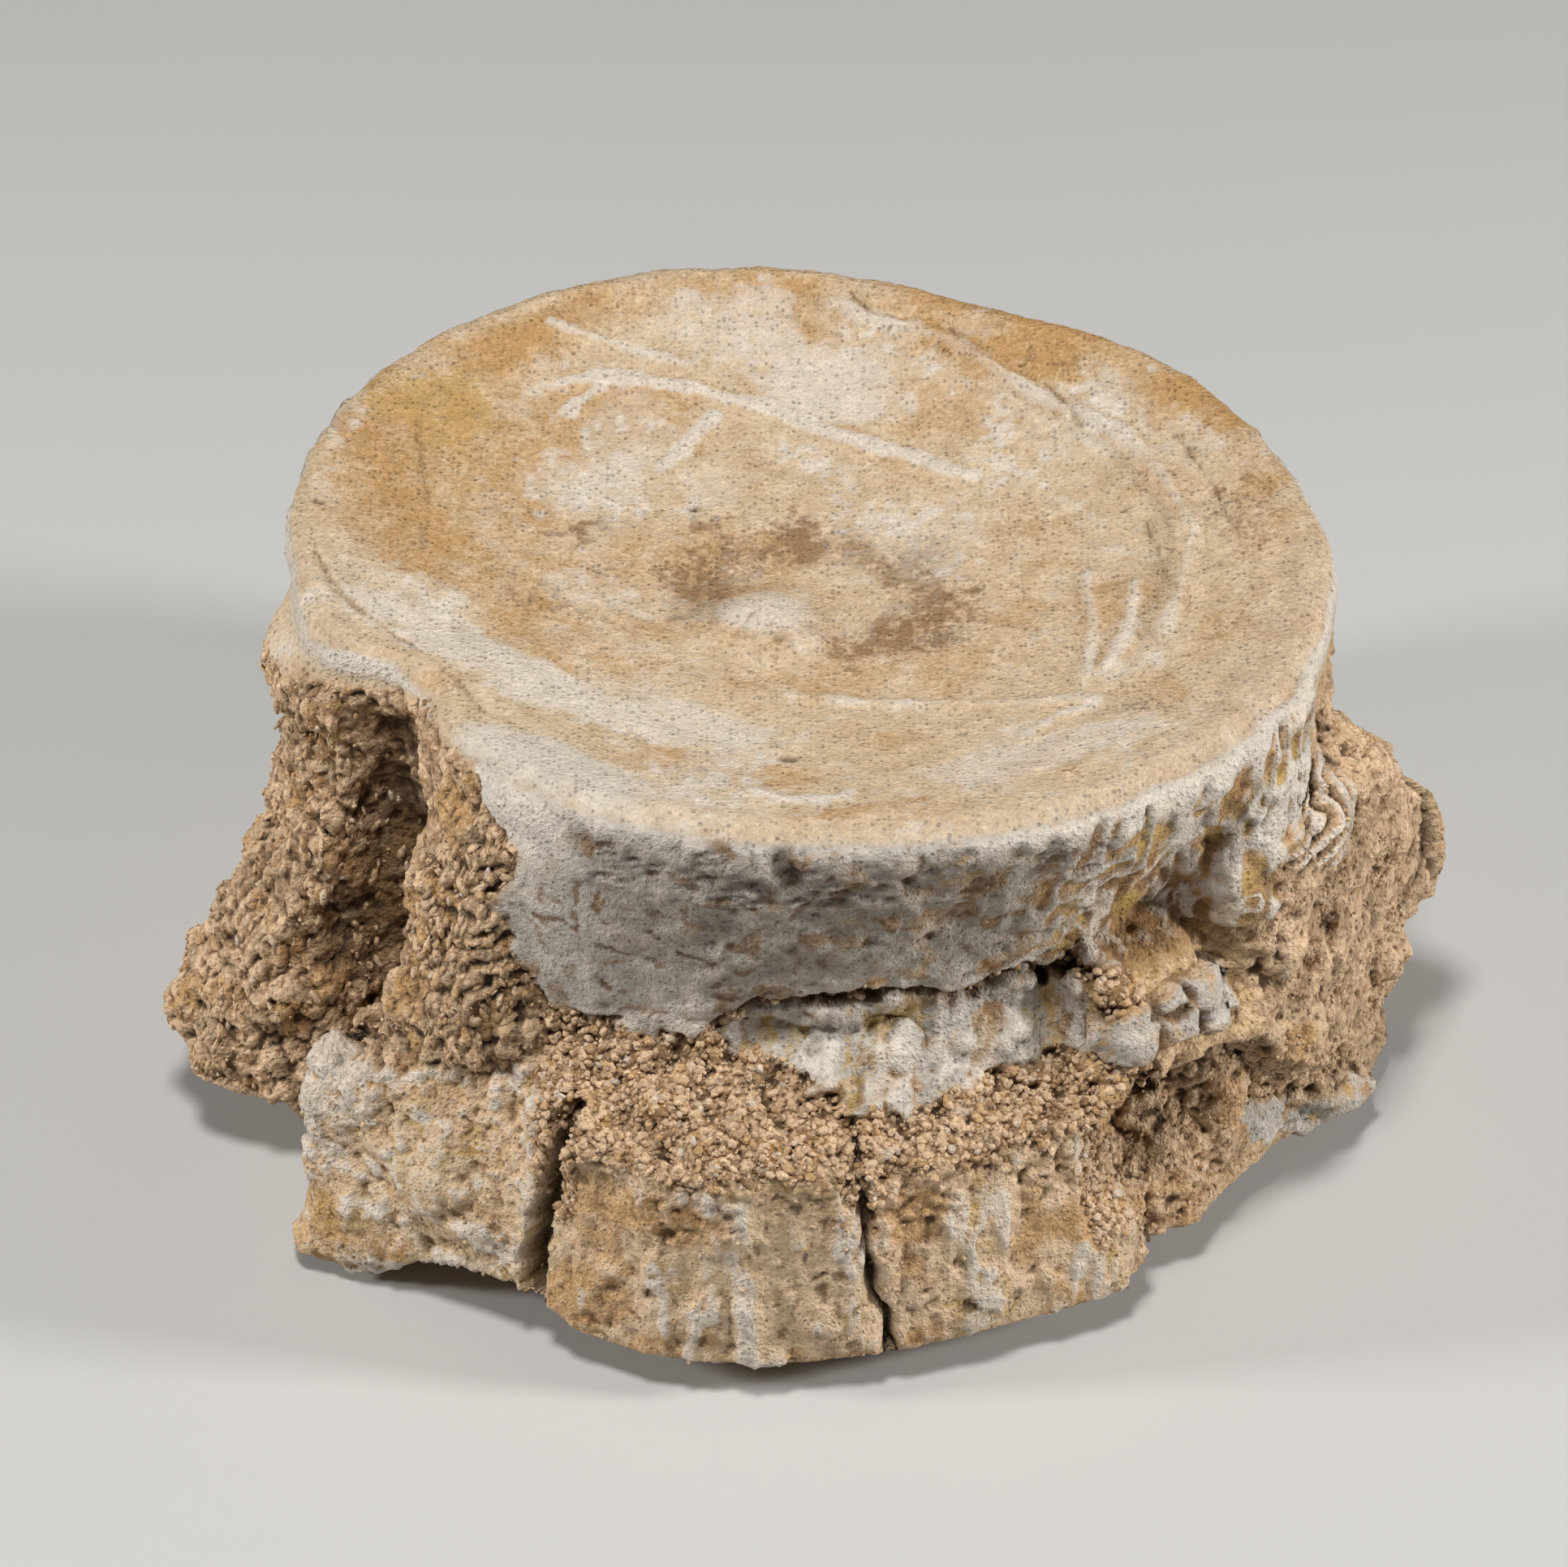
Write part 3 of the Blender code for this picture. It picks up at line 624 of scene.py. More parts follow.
def sculpt_flutes(skin):
    """Upright ribs under the lip on the right, and fainter ones on the second plate."""
    upright = np.array([1.0, 0.35, 0.2])
    zone = sector(skin, 298, 334, 6) * skin.front * (1 - skin.block)
    bent = skin.points.copy()
    bent[:, 2] += 6 * lumps(skin.points, 2.6, 30)
    bent[:, 0] += 0.5 * lumps(skin.points, 4, 37)
    wave = skin.on(zone, worms, 1.35, 31, points=bent * upright)
    body = skin.on(zone, cloud, 1.9, 2, 32, points=bent * upright)
    foot = 47 - 4 * sector(skin, 306, 325, 5) + 3 * skin.wobble
    ribs = zone * step(skin.z, foot - 4, foot + 2) * step(skin.z, 64.2, 62)
    fine = skin.on(skin.plate, worms, 1.9, 34, points=bent * upright)
    streak = skin.on(skin.plate, cloud, 2.4, 3, 35, points=bent * upright)
    plate_ribs = skin.plate * sector(skin, 258, 303, 3)
    skin.move(ribs * (0.36 * wave + 0.45 * body) + plate_ribs * (0.22 * fine + 0.4 * streak))
    stain = skin.on(zone, cloud, 4, 4, 36)
    low = zone * step(skin.z, 62, 58) * step(skin.z, 40, 45)
    gap = step(wave + body, 0.5, -0.5)
    skin.mark(yellow=0.8 * low * step(stain, -0.4, 0.3) * (0.3 + 0.7 * gap))
    skin.mark(ochre=0.75 * low * step(stain, 0.2, -0.4) + 0.6 * ribs * gap)
    skin.mark(brown=0.7 * low * step(skin.on(zone, cloud, 2.2, 3, 39), 0.1, 0.5))
    skin.mark(white=0.95 * ribs * step(wave + 0.6 * body, 0.3, 0.9))
    skin.mark(yellow=0.6 * plate_ribs * step(streak, 0.1, -0.5))
    skin.mark(brown=0.45 * plate_ribs * step(fine, -0.1, -0.7))
    skin.mark(white=0.7 * plate_ribs * step(streak + 0.3 * fine, 0.1, 0.6))
    # Painted shade in the troughs between the ribs
    skin.mark(deep=0.45 * ribs * step(wave + body, -0.6, -1.2))
    above = skin.side * sector(skin, 303, 324, 2) * between(skin.z, 40.5, 44.5, 1.5)
    skin.mark(brown=0.6 * above, ochre=0.6 * above, spongy=0.5 * above)


def sculpt_broken(skin):
    """Broken spongy bone: chips, sand and pores on upright lumps, and curled leaves on two stubs."""
    shares = skin.broken
    left, right = skin.left_break, skin.right_break
    big = skin.on(shares, cloud, 4.6, 3, 41, points=skin.points * DRAWN_OUT)
    medium = skin.on(shares, cloud, 2.2, 2, 43, points=skin.points * DRAWN_OUT)
    layers = terraces(skin.on(right, cloud, 7, 3, 42), 2.5)
    canal = left * flank_blot(skin, 207, 36, 7, 22, 0.2, 51)
    canal *= 1 - step(skin.angle, 208, 213) * step(skin.z, 40, 35)
    skin.move(shares * (1 * big + 0.5 * medium) + 0.7 * right * layers - CANAL_DEPTH * canal)
    skin.push(-1.6 * right * step(skin.radius, 55, 60) - 0.9 * left * step(skin.radius, 50, 56))
    leaf_fan = right * flank_blot(skin, 335, 50, 8, 6.5, 0.3, 50)
    leaf_stack = left * flank_blot(skin, 230, 45, 6, 11, 0.2, 49)
    arc = np.radians(skin.angle) * FLANK_RADIUS
    fan_reach = np.hypot(arc - math.radians(318) * FLANK_RADIUS, skin.z - 66)
    stack_reach = np.hypot(arc - math.radians(240) * FLANK_RADIUS, skin.z - 31)
    bend = 0.8 * cloud(skin.points, 4, 2, 47)
    fan = 0.5 + 0.5 * np.sin(2 * math.pi * (fan_reach + bend) / FAN_SPACING)
    stack = 0.5 + 0.5 * np.sin(2 * math.pi * (stack_reach + 2.4 * bend) / STACK_SPACING)
    leafy = np.clip(leaf_fan + leaf_stack, 0, 1)
    leaves = leaf_fan * fan**0.6 + 0.55 * leaf_stack * stack**0.6
    grainy = shares * (1 - 0.8 * leafy)
    coarse = (left + 0.6 * skin.foot + skin.back_break) * (1 - 0.85 * canal) * (1 - leafy)
    coarse = (coarse + 0.5 * leaf_stack) * (0.15 + 0.85 * step(big, -0.45, 0.15))
    long_chips = np.array([0.6, 1.0, 0.4])
    chips = skin.on(coarse, shards, 1.5, 45, points=skin.points * long_chips)
    sand = skin.on(shares, pebbles, 1, 48)
    grit = skin.on(shares, cloud, 1.5, 2, 52)
    pores = skin.on(grainy, holes, 1.7, 46, 0.86)
    skin.move(grainy * (0.35 * sand + 0.45 * grit - 0.45 * pores) + CHIP_HEIGHT * coarse * chips)
    skin.move(LEAF_HEIGHT * leaves - 0.6 * leafy)
    # Painted shade in the pores, the low hollows, the gaps between the chips and between the leaves
    skin.mark(spongy=shares, deep=grainy * 0.5 * pores + 0.3 * shares * step(medium, -0.1, -0.6))
    skin.mark(deep=0.5 * coarse * step(chips, 0.25, 0.02) + 0.7 * leafy * step(leaves, 0.4, 0.1))
    skin.mark(white=0.95 * leaf_fan * step(fan, 0.4, 0.8) + 0.35 * leaf_stack * step(stack, 0.5, 0.9))
    rubbed = grainy * step(sand + 0.5 * grit, 0.2, 0.7) * 0.7
    skin.mark(pale=rubbed + 0.9 * coarse * step(chips, 0.4, 0.8))
    skin.mark(pale=0.4 * right)
    stain = skin.on(shares, cloud, 4, 3, 53)
    # The canal is kept dark: its paleness wiped out, partly as painted shade in the hollow
    skin.wipe("pale", 0.6 * canal)
    skin.mark(brown=0.55 * shares * step(stain, 0.1, -0.5))
    # Dark brown in the canal and in the low hollows of the lumps: soil and painted shade
    skin.mark(dirt=0.8 * canal * step(stain, -0.7, 0.2) + 0.4 * shares * step(big, 0.1, -0.5))
    skin.mark(ochre=0.75 * left * step(stain, -0.2, 0.4) + 0.35 * right * step(stain, 0.1, 0.6))
    skin.mark(ochre=0.6 * skin.foot * step(stain, -0.2, 0.3))
    skin.mark(white=0.4 * right * step(grit, 0.1, 0.6) * step(stain, 0.3, -0.2))
    claimed = np.maximum.reduce([skin.crust, shares, skin.ledge, skin.rim])
    plain = skin.side * (1 - claimed) * step(skin.z, 59, 57)
    grit = skin.on(plain, cloud, 1.6, 2, 54) + 0.6 * skin.on(plain, pebbles, 1.1, 55)
    skin.move(0.35 * plain * grit)
    skin.mark(spongy=0.7 * plain, pale=0.6 * plain * step(grit, 0, 0.6), yellow=0.4 * plain)


def sculpt_ledge(skin):
    """The ledge over the lower rim is a crumbly bank of grains."""
    share = skin.ledge
    domes = skin.on(share, pebbles, 1.25, 61)
    banks = skin.on(share, cloud, 3.6, 3, 63)
    stain = skin.on(share, cloud, 5, 3, 64)
    skin.move(share * (1.15 * banks + GRAIN_HEIGHT * domes - 0.3))
    # Painted shade between the domes
    skin.mark(spongy=share, deep=share * 0.55 * step(domes + 0.3 * banks, 0.25, 0))
    skin.mark(pale=share * 0.8 * step(domes, 0.3, 0.7) * step(stain, -0.5, 0.3))
    skin.mark(ochre=share * 0.6 * step(banks, 0, 0.5) + share * 0.5 * step(stain, 0, -0.5))
    skin.mark(brown=share * 0.6 * step(stain, 0.1, 0.6))


def sculpt_rim(skin):
    """The lower rim: a worn, mottled face with flat dents and soft ribs, cracked through in two places."""
    rim = skin.rim
    dents = skin.on(rim, cloud, 6, 3, 71)
    ribs = skin.on(rim, cloud, 2.2, 3, 73, points=skin.points * [1, 0.6, 0.25])
    rough = skin.on(rim, cloud, 1.5, 2, 75)
    pits = skin.on(rim, holes, 2.2, 76, 0.92)
    crumbs = skin.on(rim, pebbles, 1.3, 78)
    crumbly = rim * step(dents + 0.12 * (skin.z - 18), 0.1, 0.7)
    flakes = terraces(skin.on(rim, cloud, 5, 3, 79, points=skin.points * [1, 1, 0.6]), 2.5)
    calm = 1 - 0.6 * skin.slab
    relief = (0.5 * dents + 0.6 * ribs + 0.6 * flakes) * calm
    relief = relief + (0.26 + 0.2 * skin.slab) * rough - 0.4 * pits * calm
    relief = rim * relief + 0.55 * crumbly * calm * (crumbs - 0.4)
    skin.move(relief - 0.2 * skin.over_slab + 0.5 * skin.slab)
    skin.move(0.28 * skin.on(skin.slab, pebbles, 1, 85) * skin.slab)
    gaps = np.zeros_like(skin.z)
    push = np.zeros_like(skin.z)
    wander = 0.7 * cloud(skin.points, 3, 3, 77)
    for line, width, depth in RIM_CRACKS:
        away = from_line(skin, line, flank=True) + wander * min(width * 1.6, 1)
        gap = step(away, width + 0.35, width - 0.3)
        gaps = np.maximum(gaps, gap)
        push = np.maximum(push, gap * depth)
    reach = skin.side * step(skin.radius, 43, 48)
    skin.push(-push * reach)
    chips = rim * step(dents + 0.25 * step(skin.z, 9, 5) + 0.5 * rough, 0.5, 0.65)
    skin.move(-0.5 * chips)
    stain = skin.on(rim, cloud, 6, 4, 81)
    # Painted shade in the cracks and pits of the rim
    skin.mark(deep=gaps * reach * 0.9 + 0.6 * rim * pits)
    skin.mark(pale=rim * 0.6 + 0.4 * crumbly * step(crumbs, 0.3, 0.7), spongy=0.85 * crumbly)
    skin.mark(brown=rim * 0.4 * step(-ribs - 0.6 * dents, 0.15, 0.8))
    skin.mark(ochre=rim * 0.75 * step(stain + 0.3 * step(skin.z, 10, 5), -0.1, 0.5))
    skin.mark(white=calm * rim * 0.75 * step(ribs + 0.8 * flakes - 0.4 * stain, 0.1, 0.6))
    streaks = skin.on(skin.slab, cloud, 2.2, 3, 83, points=skin.points * [0.35, 0.35, 1])
    skin.mark(ochre=0.5 * skin.slab * step(streaks, 0, 0.5))
    skin.mark(brown=0.5 * skin.slab * step(streaks + 0.5 * rough, 0, -0.5))
    # White on the slab, and painted shade in the gap over it
    skin.mark(white=0.85 * skin.slab * step(rough - streaks, 0, 0.8), deep=0.2 * skin.over_slab)
    skin.mark(yellow=rim * 0.6 * step(stain, 0.2, -0.5) * step(rough, -0.6, 0.2))
    skin.mark(dirt=rim * 0.15 * step(rough - 0.5 * ribs, 0.1, 0.8) * step(stain, -0.4, 0.3))
    corner = skin.slab * step(skin.z + 0.8 * (226 - skin.angle) + 5 * dents, 24, 32)
    skin.mark(white=0.85 * corner)
    slab_side = skin.slab * sector(skin, 212, 217, 1.5)
    skin.mark(spongy=0.8 * slab_side + 0.5 * chips)
    skin.mark(yellow=0.5 * skin.slab * step(skin.z, 16, 10) * step(stain, -0.3, 0.3))


def sculpt_face(skin):
    """The end face: fine relief, low ridges, scratches, cracks and pits in the dish."""
    face = skin.face
    relief = 0.10 * cloud(skin.points, 3, 2, 91) + 0.16 * cloud(skin.points, 9, 2, 93)
    relief = relief + 0.05 * skin.on(face, cloud, 1.1, 1, 94)
    x, y = skin.x - BOSS[0], skin.y - BOSS[1]
    from_boss = np.hypot(x, y)
    turn = np.arctan2(y, x)
    spokes = np.stack([7 * np.cos(turn), 7 * np.sin(turn), from_boss * 0.12], axis=1)
    wrinkles = skin.on(face * step(from_boss, 13, 9), cloud, 1.4, 2, 96, points=spokes)
    rings = 0.05 * np.sin(from_boss * 1.7 + 1.5 * cloud(skin.points, 8, 2, 95))
    rings = rings * step(from_boss, 14, 24)
    knob = BOSS_HEIGHT * np.exp(-((from_boss / BOSS_RADIUS) ** 2))
    knob = knob - MOAT_DEPTH * np.exp(-(((from_boss - MOAT_RADIUS) / MOAT_WIDTH) ** 2))
    coarse = step(cloud(skin.points, 12, 2, 98) + 0.02 * skin.y, 0.1, 0.7)
    crumbs = skin.on(face * coarse, pebbles, 1.2, 99)
    move = face * (relief + rings + knob + 0.2 * wrinkles * between(from_boss, 2, 7, 2))
    move = move + 0.16 * face * coarse * crumbs
    wander = 0.6 * cloud(skin.points, 2.2, 3, 97)
    for line, width, height, whiteness in FACE_RIDGES:
        on = face * step(from_line(skin, line) + wander, width + 0.6, 0.1)
        move = move + 1.4 * height * on
        skin.mark(white=1.5 * whiteness * on)
    cracks = np.zeros_like(move)
    for line, width, depth in FACE_CRACKS:
        on = face * step(from_line(skin, line) + wander * 0.8, width + 0.3, 0.05)
        cracks = np.maximum(cracks, on)
        move = move - depth * on
    pits = np.zeros_like(move)
    for x, y, size in FACE_PITS:
        away = np.hypot(skin.x - x, (skin.y - y) * 1.4) + wander * size
        pits = np.maximum(pits, face * step(away, size, size * 0.4))
    skin.move(move - 0.4 * pits)
    # Painted shade in the cracks and pits of the end face
    skin.mark(deep=0.12 * cracks + 0.85 * pits)
    skin.mark(brown=0.4 * cracks + 0.25 * face * step(wrinkles, -0.05, -0.6) * step(from_boss, 9, 5))
    skin.mark(white=0.7 * face * step(from_boss, 5.5, 3))


def tint_face(skin):
    """Stains of the end face: ochre at the left and the rim, white where rubbed, brown in the middle."""
    face = skin.face
    patches = cloud(skin.points, 3.2, 4, 107) + 0.6 * cloud(skin.points, 9, 2, 108)
    broken_up = 0.45 + 0.55 * step(patches, -0.6, 0.4)
    for number, (middle, size, turn, share) in enumerate(FACE_OCHRES):
        skin.mark(ochre=face * share * broken_up * blot(skin, middle, size, turn, 0.5, 110 + number))
    for number, (middle, size, turn, share) in enumerate(FACE_WHITES):
        skin.mark(white=face * 1.2 * share * blot(skin, middle, size, turn, 0.5, 130 + number))
    skin.mark(yellow=face * 0.5 * blot(skin, (-37, 24), (7, 8), 0, 0.4, 150))
    mottle = skin.on(face, cloud, 5, 4, 101)
    speckle = skin.on(face, cloud, 1.1, 2, 103)
    ring = step(np.abs(np.hypot(skin.x / 1.25, skin.y + 1) - 9.5), 7, 1)
    ring *= step(skin.y + 0.45 * skin.x + 4 * mottle, -15, -5)
    skin.mark(brown=face * ring * (0.4 + 0.5 * step(speckle + 0.4 * mottle, -0.6, 0.6)))
    skin.mark(dirt=face * 0.25 * ring * step(speckle + 0.5 * mottle, 0.2, 1))
    for number, (middle, size, turn, share) in enumerate(FACE_BROWNS):
        spots = step(speckle + 0.3 * mottle, -0.4, 0.3)
        skin.mark(brown=face * share * spots * blot(skin, middle, size, turn, 0.5, 180 + number))
    for number, (place, size) in enumerate(FACE_SMUDGES):
        skin.mark(smudge=face * 0.45 * blot(skin, place, size, 0, 1.3, 160 + number))
    rim_share = skin.radius / FACE_RADIUS
    rim_band = step(rim_share, 0.86, 0.93) * step(rim_share, 1.03, 0.97) * step(skin.y, 2, 18)
    veil = cloud(skin.points, 16, 3, 105)
    skin.mark(ochre=face * (0.35 * rim_band + 0.1 + 0.4 * step(mottle + veil, 0, 0.9)))
    skin.mark(white=face * (0.5 * step(speckle - 0.8 * mottle, 0, 0.9) + 0.5 * step(veil, 0, -0.5)))
    tongue = face * blot(skin, (-25, -34.5), (11, 4.5), -38, 0.3, 106)
    skin.mark(crust=0.75 * tongue, white=0.75 * tongue)
    skin.mark(brown=face * 0.4 * step(speckle + 0.8 * mottle, 0.2, 1))
    skin.mark(pink=face * 0.6 * step(rim_share, 0.84, 0.95) * step(skin.y, 10, -12))


def tint_flank(skin):
    """Colours of the wall: grey-white crust, whiter at its corners and at the lip, ochre where it thins;
    painted shade over its middle under the lip and on the undersides near the floor.
    """
    skin.mark(crust=skin.crust)
    lip = skin.side * step(skin.z, 59.5, 62.5) * (1 - skin.left_break)
    skin.mark(crust=0.8 * lip)
    corner = skin.wall * flank_blot(skin, 233, 60, 9, 6, 0.2, 171)
    right_lip = lip * sector(skin, 296, 370, 6)
    left_lip = lip * sector(skin, 176, 200, 5)
    strip = skin.side * step(skin.z, 60.5, 62) * sector(skin, 200, 214, 3)
    skin.mark(white=0.85 * corner + 0.75 * right_lip + 0.5 * left_lip + 0.7 * strip)
    thin = skin.on(skin.crust, cloud, 4, 4, 173)
    worn = skin.on(skin.crust, cloud, 2.6, 4, 175)
    from_crack = turn_between(skin.angle, 262)
    skin.mark(ochre=skin.crust * 0.6 * step(thin, 0.05, 0.5) * step(from_crack, -8, 14))
    skin.mark(ochre=skin.wall * step(skin.wall_height, 6, 0.5) * 0.7 * step(thin, -0.2, 0.4))
    skin.mark(brown=skin.wall * step(skin.wall_height, 5, 0) * 0.6 * step(worn, -0.1, 0.5))
    skin.mark(ochre=skin.block * 0.5 * step(worn, -0.1, 0.4) + 0.5 * skin.shelf * step(worn, 0, 0.5))
    vein = skin.on(skin.crust, worms, 3.4, 177) + 0.4 * skin.on(skin.crust, cloud, 1.6, 2, 178)
    rightward = step(from_crack, -14, 20)
    skin.mark(brown=skin.crust * (0.6 * step(worn + 0.5 * thin, 0.1, 0.7) + 0.6 * step(vein, 0.6, 1)))
    skin.mark(ochre=skin.crust * (0.15 + 0.5 * rightward) * step(worn, 0, 0.5))
    skin.mark(yellow=skin.crust * 0.4 * rightward * step(thin, 0.1, -0.5))
    skin.mark(white=skin.crust * 0.6 * step(worn, 0, -0.6))
    # Painted shade over the middle of the wall under the lip, laid in dark brown
    skin.mark(grime=0.7 * skin.wall * between(skin.z, 47, 61.5, 2.5) * sector(skin, 246, 300, 6))
    # Painted shade under the bone: the undersides near the floor darkened
    skin.mark(dirt=skin.under * 0.4, spongy=skin.under * 0.6)


def weather(skin):
    """Soil and brown patina lie in the hollows and the crests are rubbed pale, on the whole bone; the hollows
    also get painted shade, most on the broken bone and the ledge.
    """
    fine = skin.hollows(0.9)
    broad = skin.hollows(2.4)
    rough = 1 - 0.5 * skin.face
    skin.wipe("white", 0.6 * step(fine, 0.02, 0.14))
    skin.mark(brown=0.55 * rough * step(fine, 0.03, 0.2) + 0.4 * rough * step(broad, 0.1, 0.7))
    crumbly = np.maximum(skin.broken, skin.ledge)
    # Soil and painted shade in the hollows of the broken bone and the ledge
    skin.mark(dirt=0.7 * crumbly * step(fine, 0.03, 0.22))
    # Painted shade in the hollows of the whole bone, stronger on the broken bone and the ledge
    skin.mark(deep=(0.45 * (1 - skin.face) + 0.3 * crumbly) * step(fine, 0.1, 0.36))
    skin.mark(pale=0.5 * skin.broken * step(-fine, 0.03, 0.2))
    skin.mark(white=0.4 * np.maximum(skin.rim, skin.crust) * step(-fine, 0.02, 0.12))


# Loose grains and splinters

def strewn(name, skin, share, count, size, shape, lie, salt):
    """Many small angular grains in one mesh, set on the skin where a share is high.

    size is the least and the largest radius, shape the stretch along each grain's own x, y and z, and lie
    how strictly its x runs along the slope of the surface and its z out of it, from 0, any way, to 1.
    """
    draw = np.random.default_rng(salt)
    deselect()
    bpy.ops.mesh.primitive_ico_sphere_add(subdivisions=1, radius=1.0)
    seed = bpy.context.view_layer.objects.active
    corners = np.array([vertex.co for vertex in seed.data.vertices])
    faces = np.array([face.vertices for face in seed.data.polygons])
    weight = np.clip(share, 0.0, 1.0)
    chosen = draw.choice(len(weight), size=count, p=weight / weight.sum())
    out = skin.normals[chosen]
    down = np.array([0.0, 0.0, -1.0]) - out * -out[:, 2:3]
    down = down + draw.normal(0.0, 1.0, (count, 3)) * (1.0 - lie) + 0.001
    out = out + draw.normal(0.0, 1.0, (count, 3)) * (1.0 - lie) * 0.8
    out = out / np.linalg.norm(out, axis=1)[:, None]
    down = down - out * np.sum(down * out, axis=1)[:, None]
    down = down / np.linalg.norm(down, axis=1)[:, None]
    across = np.cross(out, down)
    radius = size[0] + (size[1] - size[0]) * draw.random(count) ** 2.0
    place = skin.points[chosen] + skin.normals[chosen] * radius[:, None] * 0.15
    wide = radius[:, None, None] * np.array(shape) * draw.uniform(0.75, 1.25, (count, 1, 3))
    local = corners[None] * draw.uniform(0.72, 1.1, (count, len(corners), 1)) * wide
    ways = np.stack([down, across, out], axis=1)
    turned = sum(local[..., i:i + 1] * ways[:, None, i] for i in range(3))
    places = (place[:, None] + turned).reshape(-1, 3)
    places[:, 2] = np.maximum(places[:, 2], 0.05)
    places = (places + np.array([AXIS[0], AXIS[1], 0.0])) * MM
    corner_count = len(corners)
    all_faces = (faces[None] + np.arange(count)[:, None, None] * corner_count).reshape(-1, 3)
    mesh = bpy.data.meshes.new(name)
    mesh.from_pydata(places, [], all_faces)
    mesh.polygons.foreach_set("use_smooth", np.ones(len(all_faces), bool))
    tone = draw.random(count)
    own = {"spongy": np.full(count, 0.7), "pale": 0.4 + 0.6 * tone, "white": 0.7 * step(tone, 0.86, 1.0)}
    own["ochre"] = 0.7 * step(draw.random(count), 0.5, 1.0)
    own["brown"] = 0.8 * step(draw.random(count), 0.6, 1.0)
    for field in FIELDS:
        value = own.get(field, np.zeros(count))
        attribute = mesh.attributes.new(field, "FLOAT", "POINT")
        attribute.data.foreach_set("value", np.repeat(value, corner_count).astype(np.float32))
    bpy.data.objects.remove(seed)
    piece = bpy.data.objects.new(name, mesh)
    bpy.context.scene.collection.objects.link(piece)
    return piece


def strew_all(skin, finish):
    """The grains on the ledge, in the cracks and on the broken bone, and the splinters on the stubs."""
    upward = 0.3 + 0.7 * step(skin.normals[:, 2], -0.1, 0.5)
    crevices = ((242.0, 25.0, 3.0, 7.0), (275.0, 27.0, 2.6, 3.4), (303.5, 20.0, 3.2, 8.0))
    filled = sum(skin.side * flank_blot(skin, *oval, 0.3, 201 + i) for i, oval in enumerate(crevices))
    on_ledge = skin.ledge * upward * step(turn_between(skin.angle, FRONT), -40.0, -36.0)
    on_ledge = on_ledge * step(turn_between(skin.angle, FRONT), 44.0, 40.0)
    left_stub = skin.left_break * sector(skin, 178.0, 201.0, 2.0)
    stack = skin.left_break * flank_blot(skin, 229.0, 44.0, 7.0, 13.0, 0.3, 49)
    sandy = (skin.broken + 0.35 * skin.rim) * step(cloud(skin.points, 4.0, 2, 204), -0.2, 0.4)
    kinds = (
        ("ledge_grains", on_ledge + filled, 4200, (0.16, 0.62), (1.4, 0.9, 0.9), 0.0, 301),
        ("sand_grains", sandy, 3600, (0.12, 0.36), (1.2, 0.9, 0.9), 0.0, 302),
        ("left_stub_splinters", left_stub, 420, (0.3, 0.6), (2.4, 0.9, 0.6), 0.8, 303),
        ("middle_stub_splinters", stack, 260, (0.3, 0.7), (2.2, 1.0, 0.5), 0.7, 304),
    )
    for name, share, count, size, shape, lie, salt in kinds:
        piece = strewn(name, skin, share, count, size, shape, lie, salt)
        piece.data.materials.append(finish)
        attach(piece, "root")


# Finishes

class Value:
    """A socket of a finish that takes part in sums. Each sum adds its Math node."""

    def __init__(self, finish, socket):
        self.finish = finish
        self.socket = socket

    def sum(self, operation, first, second):
        return self.finish.add("ShaderNodeMath", {"operation": operation}, {0: first, 1: second})

    def __add__(self, other):
        return self.sum("ADD", self, other)

    def __radd__(self, other):
        return self.sum("ADD", other, self)

    def __sub__(self, other):
        return self.sum("SUBTRACT", self, other)

    def __rsub__(self, other):
        return self.sum("SUBTRACT", other, self)

    def __mul__(self, other):
        return self.sum("MULTIPLY", self, other)

    def __rmul__(self, other):
        return self.sum("MULTIPLY", other, self)

    def clamped(self):
        return self.finish.add("ShaderNodeClamp", {}, {"Value": self, "Min": 0.0, "Max": 1.0})


